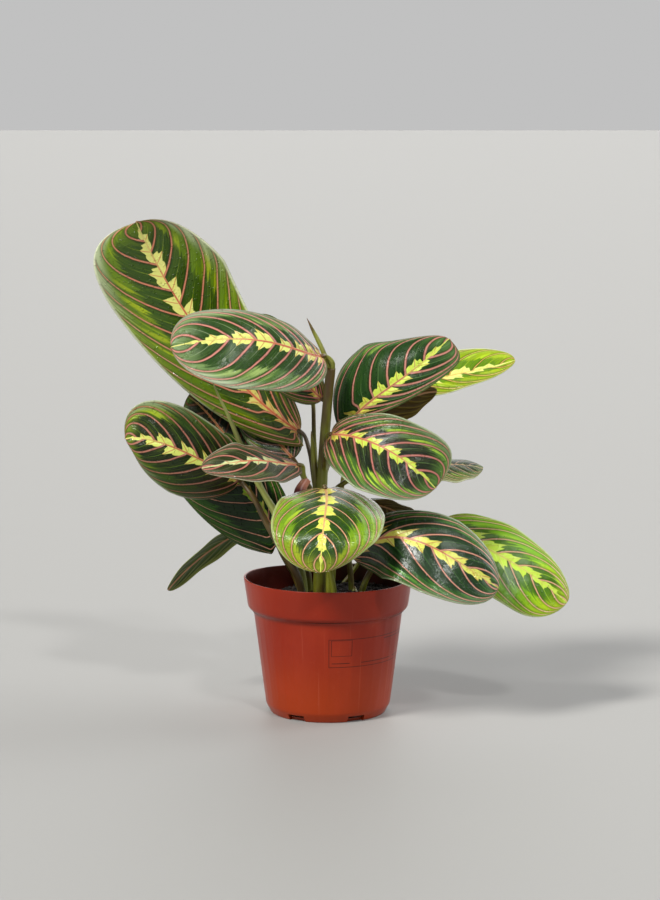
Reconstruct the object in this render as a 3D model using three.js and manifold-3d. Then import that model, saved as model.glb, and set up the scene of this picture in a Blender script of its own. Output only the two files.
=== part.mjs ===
// A prayer plant (maranta) in a round nursery pot, in millimetres, +Z up.
// The origin is the middle of the pot's underside, and the plant is seen from -Y.
import * as THREE from 'three';
import { mergeVertices } from 'three/addons/utils/BufferGeometryUtils.js';
import Module from 'manifold-3d';

const wasm = await Module();
wasm.setup();

// ---------------------------------------------------------------- sizes
const POT_HEIGHT = 97;
const RIM_RADIUS = 60;
const RIM_BAND = 21;            // height of the wide band at the top
const RIM_TAPER = 3;
const STEP_HEIGHT = 3;
const BODY_TOP_RADIUS = 53;
const BODY_FOOT_RADIUS = 44.5;
const FOOT_HEIGHT = 6.5;
const FOOT_RADIUS = 41;
const WALL = 1.4;
const FLOOR = 2;
const ROUND_SIDES = 36;         // sides of the pot and the soil
const NOTCHES = 6;              // drain notches round the foot
const NOTCH_WIDTH = 13;
const NOTCH_HEIGHT = 4.5;

const SOIL_TOP = 80;
const SOIL_GAP = 0.6;           // between the soil and the pot
const SOIL_DOME = 2.5;          // how far the soil rises in the middle

const BLADE = 0.9;              // thickness of a leaf blade
const BLADE_ROWS = 12;
const BLADE_COLUMNS = 6;
const TIP_WIDTH = 0.015;        // widths at the two ends, as shares of the half width
const BASE_WIDTH = 0.07;
const HEART_FADE = 5;           // how fast the lobes at a blade's base die out along it
const SINUS = 2.2;              // the stretch beside the midrib that the lobes leave free for the stalk
const LOBE_TURN = 5.8;          // the further way out over which a lobe reaches its full length
const PETIOLE = 1.5;            // radius of a leaf stalk
const STALK_SIDES = 6;
const STALK_GAP = 1;            // from a stalk's end to its leaf's base
const STALK_APPROACH = 4;       // the stretch over which a stalk turns along its leaf
const SOIL_HOLE = 0.5;          // room round a stem in the soil

// ---------------------------------------------------------------- colours
const terracotta = { color: 0x93402c, roughness: 0.42, metalness: 0 };
const earth = { color: 0x17120f, roughness: 0.95, metalness: 0 };
const stem_green = { color: 0x5a5a2c, roughness: 0.5, metalness: 0 };
const leaf_green = { color: 0x3d6a24, roughness: 0.38, metalness: 0 };
const dark_green = { color: 0x24431f, roughness: 0.35, metalness: 0 };
const lime_green = { color: 0x86a83a, roughness: 0.4, metalness: 0 };

// ---------------------------------------------------------------- leaves
// midrib: four points a third of the blade apart, from its base to its tip
// face: where the upper side looks
// the other pairs are [left, right] of the midrib, seen from the upper side with the tip ahead
// half: the greatest half width
// widest: how far along the blade that is
// full: how blunt the outline is toward [the base, the tip]
// heart: how far a rounded lobe reaches back beside the stalk
// fold: the rise of each half beside the midrib (degrees)
// curl: its further turn out to the margin (degrees, not 0)
// wave: how far the margin ripples
const leaves = {
  leaf_crown_left: {
    midrib: [[-21, 22, 199], [-77, 30, 249], [-115, 24, 306], [-135, 8, 349]],
    face: [0.05, -1, 0.2], half: [46, 44], widest: [0.7, 0.63], full: [[1.3, 2.8], [1.3, 1.3]],
    heart: [12, 0], fold: [0, 0], curl: [-36, 25], wave: 1.2, colour: leaf_green,
  },
  leaf_crown_front: {
    midrib: [[-4, -8, 256], [-23, -28, 263], [-55, -42, 271], [-108, -45, 266]],
    face: [0, -0.95, 0.3], half: [38, 26], widest: [0.73, 0.83], full: [[2.1, 1.8], [1.3, 3.6]],
    heart: [1, 5], fold: [0, -10], curl: [25, -27], wave: 0.8, colour: leaf_green,
  },
  leaf_crown_back: {
    midrib: [[-4, 12, 223], [-23, 12, 242], [-39, 10, 263], [-50, 6, 284]],
    face: [-0.2, -0.9, 0.3], half: [20, 17], widest: [0.5, 0.5], full: [[2, 2], [2, 2]],
    heart: [0, 0], fold: [0, 0], curl: [-15, -15], wave: 0.8, colour: dark_green,
  },
  leaf_outer_left: {
    midrib: [[-64, 5, 166], [-82, -12, 179], [-113, -22, 195], [-142, -20, 199]],
    face: [-0.1, -0.9, 0.35], half: [34, 29], widest: [0.49, 0.64], full: [[1.9, 1.3], [1.3, 3.5]],
    heart: [0, 0], fold: [0, 0], curl: [-60, 18], wave: 1, colour: dark_green,
  },
  leaf_inner_left: {
    midrib: [[-60, 36, 175], [-74, 50, 191], [-88, 60, 207], [-103, 66, 219]],
    face: [0, -0.9, 0.3], half: [24, 24], widest: [0.5, 0.5], full: [[2, 2], [2, 2]],
    heart: [0, 0], fold: [0, 0], curl: [-15, -15], wave: 0.8, colour: dark_green,
  },
  leaf_folded_left: {
    midrib: [[-21, -12, 179], [-42, -34, 185], [-58, -48, 187], [-87, -54, 183]],
    face: [0, -0.6, 0.8], half: [22, 17], widest: [0.41, 0.57], full: [[1.4, 1.3], [1.3, 2.8]],
    heart: [4, 0], fold: [-10, 10], curl: [2, -5], wave: 1, colour: dark_green,
  },
  leaf_behind_folded: {
    midrib: [[-25, 20, 179], [-37, 31, 191], [-50, 40, 204], [-61, 46, 216]],
    face: [-0.1, -0.9, 0.3], half: [17, 21], widest: [0.5, 0.5], full: [[2, 2], [2, 2]],
    heart: [0, 0], fold: [0, 0], curl: [-15, -15], wave: 0.8, colour: dark_green,
  },
  leaf_low_left: {
    midrib: [[-35, 14, 117], [-51, 14, 148], [-75, 15, 178], [-87, 18, 193]],
    face: [-0.1, -0.95, 0.2], half: [43, 22], widest: [0.64, 0.45], full: [[2.4, 2.3], [2, 2]],
    heart: [6, 0], fold: [0, 0], curl: [-40, -15], wave: 1, colour: dark_green,
  },
  leaf_drooping_left: {
    midrib: [[-48, 52, 126], [-69, 50, 119], [-94, 44, 103], [-117, 34, 81]],
    face: [-0.35, 0.5, 0.75], half: [21, 16], widest: [0.57, 0.59], full: [[1.9, 2], [1.9, 2.3]],
    heart: [0, 0], fold: [0, 0], curl: [-20, -20], wave: 0.8, colour: leaf_green,
  },
  leaf_front: {
    midrib: [[-2, -15, 163], [-1, -50, 158], [-3, -82, 146], [-5, -92, 117]],
    face: [0, -0.7, 0.7], half: [42, 36], widest: [0.38, 0.62], full: [[2.1, 2.2], [1.8, 2.6]],
    heart: [6, 3], fold: [0, 0], curl: [-24, 8], wave: 1, colour: leaf_green,
  },
  leaf_right_front: {
    midrib: [[2, -12, 201], [23, -35, 201], [48, -50, 191], [74, -52, 169]],
    face: [0.1, -0.9, 0.4], half: [28, 39], widest: [0.81, 0.58], full: [[1.3, 3.2], [1.3, 1.7]],
    heart: [2, 3], fold: [0, 0], curl: [25, 25], wave: 1, colour: dark_green,
  },
  leaf_right_upper: {
    midrib: [[16, 8, 208], [33, -5, 226], [55, -12, 243], [85, -5, 268]],
    face: [-0.1, -0.95, 0.2], half: [46, 18], widest: [0.41, 0.88], full: [[3.3, 1.3], [1.3, 4.5]],
    heart: [12, 0], fold: [0, 0], curl: [-60, 12], wave: 1, colour: dark_green,
  },
  leaf_right_far: {
    midrib: [[16, 44, 207], [59, 52, 228], [96, 56, 237], [136, 54, 247]],
    face: [0, -0.5, 0.8], half: [31, 16], widest: [0.52, 0.57], full: [[2, 2], [1.8, 1.7]],
    heart: [0, 0], fold: [0, 0], curl: [-2, -16], wave: 0.8, colour: lime_green,
  },
  leaf_right_underside: {
    midrib: [[15, 16, 203], [40, 18, 215], [59, 20, 224], [78, 22, 228]],
    face: [0.2, 0.6, 0.75], half: [20, 17], widest: [0.45, 0.49], full: [[2, 2], [2, 2]],
    heart: [0, 3], fold: [0, 0], curl: [-21, -20], wave: 0.8, colour: leaf_green,
  },
  leaf_right_small: {
    midrib: [[55, 15, 172], [73, 22, 174], [93, 28, 174], [112, 30, 171]],
    face: [0, -0.22, 1], half: [25, 25], widest: [0.5, 0.5], full: [[2, 2], [2, 2]],
    heart: [0, 0], fold: [0, 0], curl: [-20, -20], wave: 0.8, colour: leaf_green,
  },
  leaf_low_right: {
    midrib: [[16, -28, 117], [50, -50, 134], [85, -62, 122], [118, -58, 100]],
    face: [0.1, -0.9, 0.4], half: [28, 34], widest: [0.6, 0.58], full: [[1.3, 1.5], [3, 1.7]],
    heart: [0, 0], fold: [0, 0], curl: [-23, 14], wave: 1, colour: dark_green,
  },
  leaf_outer_right: {
    midrib: [[82, 0, 136], [106, -10, 123], [136, -18, 107], [169, -20, 82]],
    face: [0.2, -0.9, 0.4], half: [25, 30], widest: [0.49, 0.68], full: [[1.9, 2.1], [2.1, 2.8]],
    heart: [2, 0], fold: [0, 0], curl: [-15, -4], wave: 1.2, colour: lime_green,
  },
  leaf_low_right_back: {
    midrib: [[13, 8, 150], [31, 17, 148], [49, 24, 141], [67, 27, 129]],
    face: [0, 0.4, 0.9], half: [26, 26], widest: [0.5, 0.5], full: [[2, 2], [2, 2]],
    heart: [0, 0], fold: [0, 0], curl: [-20, -20], wave: 1, colour: leaf_green,
  },
  leaf_back_right_high: {
    midrib: [[18, 62, 200], [38, 80, 214], [56, 96, 222], [72, 112, 224]],
    face: [0.3, 0.7, 0.7], half: [22, 22], widest: [0.55, 0.55], full: [[2, 2], [2, 2]],
    heart: [0, 0], fold: [0, 0], curl: [-20, -20], wave: 1, colour: leaf_green,
  },
  leaf_back_left_high: {
    midrib: [[-14, 44, 225], [-35, 66, 245], [-55, 84, 258], [-76, 98, 264]],
    face: [-0.3, 0.75, 0.6], half: [26, 26], widest: [0.55, 0.55], full: [[2, 2], [2, 2]],
    heart: [0, 0], fold: [0, 0], curl: [-20, -20], wave: 1, colour: leaf_green,
  },
  leaf_back_left_low: {
    midrib: [[-25, 56, 130], [-40, 76, 148], [-56, 96, 160], [-72, 114, 166]],
    face: [-0.2, 0.6, 0.8], half: [27, 27], widest: [0.55, 0.55], full: [[2, 2], [2, 2]],
    heart: [0, 0], fold: [0, 0], curl: [-20, -20], wave: 1, colour: dark_green,
  },
  leaf_back_right_low: {
    midrib: [[25, 46, 102], [44, 68, 116], [63, 90, 121], [82, 110, 118]],
    face: [0.3, 0.6, 0.75], half: [27, 27], widest: [0.55, 0.55], full: [[2, 2], [2, 2]],
    heart: [0, 0], fold: [0, 0], curl: [-20, -20], wave: 1, colour: leaf_green,
  },
  leaf_back_low: {
    midrib: [[0, 48, 112], [2, 76, 126], [4, 102, 130], [6, 126, 122]],
    face: [0, 0.3, 0.95], half: [30, 30], widest: [0.55, 0.55], full: [[2, 2], [2, 2]],
    heart: [0, 0], fold: [0, 0], curl: [-25, -25], wave: 1, colour: dark_green,
  },
};

// ---------------------------------------------------------------- stems and stalks
// Each shoot is a set of round stalks: its radius, the points on its way up and, last, the leaf that it carries
// or nothing for a stem, a sheath or a rolled new leaf, which ends in a point.
const shoots = {
  shoot_main: [
    { radius: 3.8, way: [[-7, 2, 71], [-6, 3, 101], [-5, 4, 137], [-4, 5, 170], [-2, 4, 202], [0, 2, 226], [2, -1, 247]] },
    { radius: 1.6, way: [[2, -1, 243], [-4, 0, 260], [-11, 2, 274]], point: 9 },
    { radius: 2.2, way: [[-6, 4, 140], [-9, 7, 166], [-11, 7, 192]], point: 10 },
    { way: [[-6, 4, 140], [-10, 12, 165], [-13, 16, 184]], leaf: 'leaf_crown_left' },
    { way: [[1, 1, 238], [3, -3, 251]], leaf: 'leaf_crown_front' },
    { way: [[-3, 5, 190], [-1, 9, 212]], leaf: 'leaf_crown_back' },
    { way: [[-5, 3, 145], [-12, -3, 160], [-17, -8, 171]], leaf: 'leaf_folded_left' },
    { radius: 3.4, way: [[-15, -6, 168], [-19, -9, 162], [-20, -10, 158]] },
    { way: [[-6, 4, 136], [-12, 10, 156], [-19, 15, 169]], leaf: 'leaf_behind_folded' },
    { way: [[-3, 4, 172], [-2, -5, 188]], leaf: 'leaf_right_front' },
    { way: [[-3, 4, 182], [3, 9, 197]], leaf: 'leaf_right_upper' },
    { way: [[-4, 5, 166], [4, 24, 186], [10, 37, 198]], leaf: 'leaf_right_far' },
    { way: [[-3, 5, 174], [4, 13, 192], [9, 16, 201]], leaf: 'leaf_right_underside' },
    { way: [[-5, 5, 146], [10, 12, 162], [34, 14, 170]], leaf: 'leaf_right_small' },
  ],
  shoot_left: [
    { radius: 2.4, way: [[-18, -4, 71], [-21, -6, 96], [-34, -4, 119], [-44, 0, 136], [-54, 4, 155]],
      leaf: 'leaf_outer_left' },
    { radius: 3.4, way: [[-17, 10, 71], [-20, 10, 98], [-28, 7, 122], [-38, 5, 143], [-50, 5, 163]], point: 10 },
    { radius: 1.5, way: [[-45, 5, 155], [-57, 9, 178], [-64, 10, 195], [-71, 8, 212], [-79, 7, 229]], point: 14 },
    { radius: 1.8, way: [[-18, 4, 71], [-19, 6, 86], [-24, 10, 101]], leaf: 'leaf_low_left' },
    { radius: 3.4, way: [[-18, 0, 71], [-18, 3, 84]] },
  ],
  shoot_left_back: [
    { radius: 3, way: [[-14, 20, 71], [-16, 22, 99], [-29, 30, 133], [-48, 33, 160]], leaf: 'leaf_inner_left' },
    { radius: 1.8, way: [[-18, 24, 71], [-23, 32, 88], [-34, 44, 106]], leaf: 'leaf_drooping_left' },
    { radius: 3.4, way: [[-16, 22, 71], [-17, 23, 84]] },
  ],
  shoot_front: [
    { radius: 2, way: [[0, -12, 71], [1, -10, 100], [2, -5, 131], [2, -5, 154]], leaf: 'leaf_front' },
    { radius: 2, way: [[4, -16, 71], [4, -17, 90], [2, -20, 108]], leaf: 'leaf_low_right' },
    { radius: 3, way: [[2, -14, 71], [3, -14, 84]] },
  ],
  shoot_right: [
    { radius: 2, way: [[21, -4, 71], [24, -4, 87], [33, -1, 105], [58, 4, 126]], leaf: 'leaf_outer_right' },
    { radius: 1.8, way: [[17, 4, 71], [16, 6, 100], [11, 4, 135]], leaf: 'leaf_low_right_back' },
    { radius: 3, way: [[19, 0, 71], [19, 1, 84]] },
  ],
  shoot_back: [
    { way: [[2, 30, 71], [6, 38, 120], [12, 48, 170]], leaf: 'leaf_back_right_high' },
    { way: [[-2, 28, 71], [-6, 30, 130], [-10, 34, 190]], leaf: 'leaf_back_left_high' },
    { way: [[-4, 31, 71], [-10, 40, 100], [-18, 48, 118]], leaf: 'leaf_back_left_low' },
    { way: [[4, 32, 71], [9, 36, 82], [17, 40, 92]], leaf: 'leaf_back_right_low' },
    { way: [[0, 33, 71], [0, 37, 92]], leaf: 'leaf_back_low' },
    { radius: 4.5, way: [[0, 30, 71], [0, 31, 86]] },
  ],
};

// ---------------------------------------------------------------- meshes
function toManifold(geometry) {
  const plain = geometry.clone();
  plain.deleteAttribute('normal');
  plain.deleteAttribute('uv');
  const welded = mergeVertices(plain, 1e-4);
  return new wasm.Manifold(new wasm.Mesh({
    numProp: 3,
    vertProperties: new Float32Array(welded.attributes.position.array),
    triVerts: new Uint32Array(welded.index.array),
  }));
}

function toGeometry(solid) {
  const mesh = solid.getMesh();
  const geometry = new THREE.BufferGeometry();
  geometry.setAttribute('position', new THREE.BufferAttribute(new Float32Array(mesh.vertProperties), 3));
  geometry.setIndex(new THREE.BufferAttribute(new Uint32Array(mesh.triVerts), 1));
  geometry.computeVertexNormals();
  return geometry;
}

function named(name, geometry, finish) {
  const mesh = new THREE.Mesh(geometry, new THREE.MeshStandardMaterial(finish));
  mesh.name = name;
  return mesh;
}

const radians = THREE.MathUtils.degToRad;

// ---------------------------------------------------------------- leaf blades
// The cubic through four points at 0, 1/3, 2/3 and 1.
function midribPoint(points, share) {
  const knots = [0, 1 / 3, 2 / 3, 1];
  const point = new THREE.Vector3();
  points.forEach((coordinates, index) => {
    let weight = 1;
    knots.forEach((knot, other) => {
      if (other !== index) {
        weight *= (share - knot) / (knots[index] - knot);
      }
    });
    point.addScaledVector(new THREE.Vector3(...coordinates), weight);
  });
  return point;
}

function midribDirection(points, share) {
  const step = 1e-3;
  return midribPoint(points, share + step).sub(midribPoint(points, share - step)).normalize();
}

// Two superellipse arcs that meet where the blade is widest.
function bladeWidth(share, widest, full) {
  const towardBase = Math.max((widest - share) / widest, 0) ** full[0];
  const towardTip = Math.max((share - widest) / (1 - widest), 0) ** full[1];
  const body = Math.sqrt(1 - (share < widest ? towardBase : towardTip));
  const end = BASE_WIDTH + (TIP_WIDTH - BASE_WIDTH) * share;
  return Math.hypot(body, end);
}

// A point of the blade's middle surface: share along the midrib, across from -1 at the left margin to 1.
function bladePoint(leaf, share, across) {
  const side = across < 0 ? 0 : 1;
  const direction = midribDirection(leaf.midrib, share);
  const right = direction.clone().cross(new THREE.Vector3(...leaf.face)).normalize();
  const up = right.clone().cross(direction);
  const width = leaf.half[side] * bladeWidth(share, leaf.widest[side], leaf.full[side]);
  const fold = radians(leaf.fold[side]);
  const curl = radians(leaf.curl[side]);
  const out = Math.abs(across);
  const level = (Math.sin(fold + curl * out) - Math.sin(fold)) / curl;
  const rise = (Math.cos(fold) - Math.cos(fold + curl * out)) / curl;
  const ripple = leaf.wave * out * out * Math.sin(Math.PI * share) * Math.sin(2 * Math.PI * (2.6 * share + 0.35 * side));
  const lobe = leaf.heart[side] * (1 - share) ** HEART_FADE
    * THREE.MathUtils.smoothstep(width * out, SINUS, SINUS + LOBE_TURN);
  return midribPoint(leaf.midrib, share)
    .addScaledVector(direction, -lobe)
    .addScaledVector(right, Math.sign(across) * width * level)
    .addScaledVector(up, width * rise + ripple);
}

// A closed blade of even thickness, split into triangles alike on its two faces.
function bladeGeometry(leaf) {
  const rows = BLADE_ROWS;
  const columns = BLADE_COLUMNS;
  const grid = [];
  for (let row = 0; row <= rows; row += 1) {
    const share = (1 - Math.cos(Math.PI * row / rows)) / 2;
    const line = [];
    for (let column = 0; column <= columns; column += 1) {
      line.push(bladePoint(leaf, share, 2 * column / columns - 1));
    }
    grid.push(line);
  }
  const positions = [];
  for (const offset of [BLADE / 2, -BLADE / 2]) {
    for (let row = 0; row <= rows; row += 1) {
      for (let column = 0; column <= columns; column += 1) {
        const ahead = grid[Math.min(row + 1, rows)][column].clone().sub(grid[Math.max(row - 1, 0)][column]);
        const beside = grid[row][Math.min(column + 1, columns)].clone().sub(grid[row][Math.max(column - 1, 0)]);
        const normal = beside.cross(ahead).normalize();
        positions.push(...grid[row][column].clone().addScaledVector(normal, offset).toArray());
      }
    }
  }
  const stride = columns + 1;
  const under = (rows + 1) * stride;
  const triangles = [];
  for (let row = 0; row < rows; row += 1) {
    for (let column = 0; column < columns; column += 1) {
      const a = row * stride + column;
      const b = a + 1;
      const c = a + stride;
      const d = c + 1;
      triangles.push(a, b, d, a, d, c);
      triangles.push(under + a, under + d, under + b, under + a, under + c, under + d);
    }
  }
  const border = [];
  for (let column = 0; column < columns; column += 1) {
    border.push(column);
  }
  for (let row = 0; row < rows; row += 1) {
    border.push(row * stride + columns);
  }
  for (let column = columns; column > 0; column -= 1) {
    border.push(rows * stride + column);
  }
  for (let row = rows; row > 0; row -= 1) {
    border.push(row * stride);
  }
  border.forEach((from, index) => {
    const to = border[(index + 1) % border.length];
    triangles.push(from, under + to, to, from, under + from, under + to);
  });
  const geometry = new THREE.BufferGeometry();
  geometry.setAttribute('position', new THREE.Float32BufferAttribute(positions, 3));
  geometry.setIndex(triangles);
  geometry.computeVertexNormals();
  return geometry;
}

// ---------------------------------------------------------------- stalks
// A stalk ends squarely in front of its leaf's base.
function stalkWay(stalk) {
  const points = stalk.way.map((coordinates) => new THREE.Vector3(...coordinates));
  if (stalk.leaf) {
    const { midrib } = leaves[stalk.leaf];
    const base = midribPoint(midrib, 0);
    const direction = midribDirection(midrib, 0);
    points.push(base.clone().addScaledVector(direction, -STALK_APPROACH));
    points.push(base.clone().addScaledVector(direction, -STALK_GAP));
  }
  return points;
}

function tube(points, radius, steps) {
  const circle = new THREE.Shape();
  for (let side = 0; side < STALK_SIDES; side += 1) {
    const angle = 2 * Math.PI * side / STALK_SIDES;
    const corner = [radius * Math.cos(angle), radius * Math.sin(angle)];
    if (side === 0) {
      circle.moveTo(...corner);
    } else {
      circle.lineTo(...corner);
    }
  }
  circle.closePath();
  return new THREE.ExtrudeGeometry(circle, {
    steps,
    curveSegments: 1,
    extrudePath: new THREE.CatmullRomCurve3(points, false, 'centripetal'),
  });
}

function pointedEnd(from, to, radius, length) {
  const direction = to.clone().sub(from).normalize();
  const cone = new THREE.ConeGeometry(radius, length, STALK_SIDES);
  cone.translate(0, length / 2, 0);
  cone.applyQuaternion(new THREE.Quaternion().setFromUnitVectors(new THREE.Vector3(0, 1, 0), direction));
  cone.translate(...to.clone().addScaledVector(direction, -0.3).toArray());
  return cone;
}

function shootSolid(stalks, extra) {
  let solid = null;
  for (const stalk of stalks) {
    const points = stalkWay(stalk);
    const radius = (stalk.radius ?? PETIOLE) + extra;
    let piece = toManifold(tube(points, radius, 2 * points.length));
    if (stalk.point) {
      piece = piece.add(toManifold(pointedEnd(points.at(-2), points.at(-1), radius, stalk.point)));
    }
    solid = solid ? solid.add(piece) : piece;
  }
  return solid;
}

// The part of a shoot that stands in the soil, with room round it and below it.
function soilHole(stalks) {
  let hole = null;
  for (const stalk of stalks.filter(({ way }) => way[0][2] < SOIL_TOP)) {
    const points = stalkWay(stalk);
    const radius = (stalk.radius ?? PETIOLE) + SOIL_HOLE;
    const shaft = toManifold(tube(points, radius, 2 * points.length));
    const piece = shaft.add(shaft.translate(0, 0, -SOIL_HOLE));
    hole = hole ? hole.add(piece) : piece;
  }
  return hole;
}

// ---------------------------------------------------------------- pot and soil
function lathe(profile) {
  const points = profile.map(([radius, height]) => new THREE.Vector2(radius, height));
  const geometry = new THREE.LatheGeometry(points, ROUND_SIDES);
  geometry.rotateX(Math.PI / 2);
  return geometry;
}

// The radius of the pot's inner wall at a height.
function innerRadius(height) {
  const share = (height - FOOT_HEIGHT) / (POT_HEIGHT - RIM_BAND - STEP_HEIGHT - FOOT_HEIGHT);
  return BODY_FOOT_RADIUS + (BODY_TOP_RADIUS - BODY_FOOT_RADIUS) * share - WALL;
}

function potGeometry() {
  const bandFoot = POT_HEIGHT - RIM_BAND;
  const stepFoot = bandFoot - STEP_HEIGHT;
  let solid = toManifold(lathe([
    [0, 0],
    [FOOT_RADIUS, 0],
    [BODY_FOOT_RADIUS, FOOT_HEIGHT],
    [BODY_TOP_RADIUS, stepFoot],
    [RIM_RADIUS - RIM_TAPER, bandFoot],
    [RIM_RADIUS, POT_HEIGHT - 1],
    [RIM_RADIUS - 0.4, POT_HEIGHT],
    [RIM_RADIUS - WALL, POT_HEIGHT],
    [RIM_RADIUS - RIM_TAPER - WALL, bandFoot + 1.2],
    [BODY_TOP_RADIUS - WALL, stepFoot + 1.2],
    [BODY_FOOT_RADIUS - WALL, FOOT_HEIGHT + 0.6],
    [FOOT_RADIUS - WALL, FLOOR],
    [0, FLOOR],
  ]));
  for (let notch = 0; notch < NOTCHES; notch += 1) {
    const box = new THREE.BoxGeometry(NOTCH_WIDTH, 12, 2 * NOTCH_HEIGHT);
    box.translate(0, -(FOOT_RADIUS + 3), 0);
    box.rotateZ(2 * Math.PI * (notch + 0.5) / NOTCHES - radians(62));
    solid = solid.subtract(toManifold(box));
  }
  return toGeometry(solid);
}

function soilGeometry() {
  const foot = FOOT_HEIGHT + 1.5;
  const profile = [
    [0, FLOOR + SOIL_GAP],
    [FOOT_RADIUS - WALL - 1, FLOOR + SOIL_GAP],
    [innerRadius(foot) - SOIL_GAP, foot],
    [innerRadius(POT_HEIGHT - RIM_BAND - STEP_HEIGHT) - SOIL_GAP, POT_HEIGHT - RIM_BAND - STEP_HEIGHT + 1],
    [RIM_RADIUS - RIM_TAPER - WALL - 0.7, POT_HEIGHT - RIM_BAND + 2],
    [RIM_RADIUS - RIM_TAPER - WALL - 0.7, SOIL_TOP - 1],
    [0.55 * RIM_RADIUS, SOIL_TOP + 0.6 * SOIL_DOME],
    [0, SOIL_TOP + SOIL_DOME],
  ];
  let solid = toManifold(lathe(profile));
  for (const stalks of Object.values(shoots)) {
    solid = solid.subtract(soilHole(stalks));
  }
  return toGeometry(solid);
}

// ---------------------------------------------------------------- the plant
const group = new THREE.Group();
group.add(named('pot', potGeometry(), terracotta));
group.add(named('soil', soilGeometry(), earth));
for (const [name, stalks] of Object.entries(shoots)) {
  group.add(named(name, toGeometry(shootSolid(stalks, 0)), stem_green));
}
for (const [name, leaf] of Object.entries(leaves)) {
  group.add(named(name, bladeGeometry(leaf), leaf.colour));
}

export default group;
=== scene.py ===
"""A prayer plant (maranta) in a nursery pot, in metres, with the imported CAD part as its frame."""

import math

import bmesh
import bpy
import numpy as np
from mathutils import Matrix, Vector


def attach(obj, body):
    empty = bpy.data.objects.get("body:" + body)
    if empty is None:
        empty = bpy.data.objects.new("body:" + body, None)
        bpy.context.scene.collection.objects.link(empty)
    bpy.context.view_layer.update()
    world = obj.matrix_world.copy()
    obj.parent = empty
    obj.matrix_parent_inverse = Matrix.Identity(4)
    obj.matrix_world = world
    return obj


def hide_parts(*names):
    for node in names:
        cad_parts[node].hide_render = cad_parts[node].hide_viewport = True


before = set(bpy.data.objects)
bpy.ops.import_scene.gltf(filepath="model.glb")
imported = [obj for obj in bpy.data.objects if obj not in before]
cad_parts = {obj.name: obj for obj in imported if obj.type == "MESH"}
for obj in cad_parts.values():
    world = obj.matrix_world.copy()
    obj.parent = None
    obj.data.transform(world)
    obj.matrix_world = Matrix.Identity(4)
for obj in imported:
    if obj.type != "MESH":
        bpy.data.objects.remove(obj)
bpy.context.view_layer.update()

MM = 0.001

# ---------------------------------------------------------------- leaf forms
# midrib: four points in mm a third of the blade apart, from its base to its tip
# face: where the upper side looks
# look: the colours, from LOOKS
# rib: radius in mm of the midrib under the blade, where a close neighbour leaves less room than MIDRIB
# veins: main veins along the midrib, how they gather at the base, how far they sweep to the tip, how they
#   hook at the margin, and by how much of a vein the left and the right half are shifted
# wave: how far the margin ripples, in mm
# These have a value for the left and the right of the midrib, seen from the upper side with the tip ahead:
#   half: the greatest half width in mm, and widest: how far along the blade that is
#   full: how full the outline is toward the base and toward the tip (2 is an ellipse)
#   heart: how far in mm the lobe at the base reaches back past the stalk
#   fold: the rise of the half beside the midrib, and curl: its further turn out to the margin, in degrees.
#     curl is never 0, because blade_surface divides by it.
PLAIN_LEAF = dict(widest=(0.5, 0.5), full=((2, 2), (2, 2)), heart=(0, 0), fold=(0, 0), curl=(-20, -20),
                  wave=1, veins=(8, 0.3, 0.2, 0.95, 0, 0.5))


def blade(*midrib, **rest):
    return {**PLAIN_LEAF, "midrib": midrib, **rest}


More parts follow.
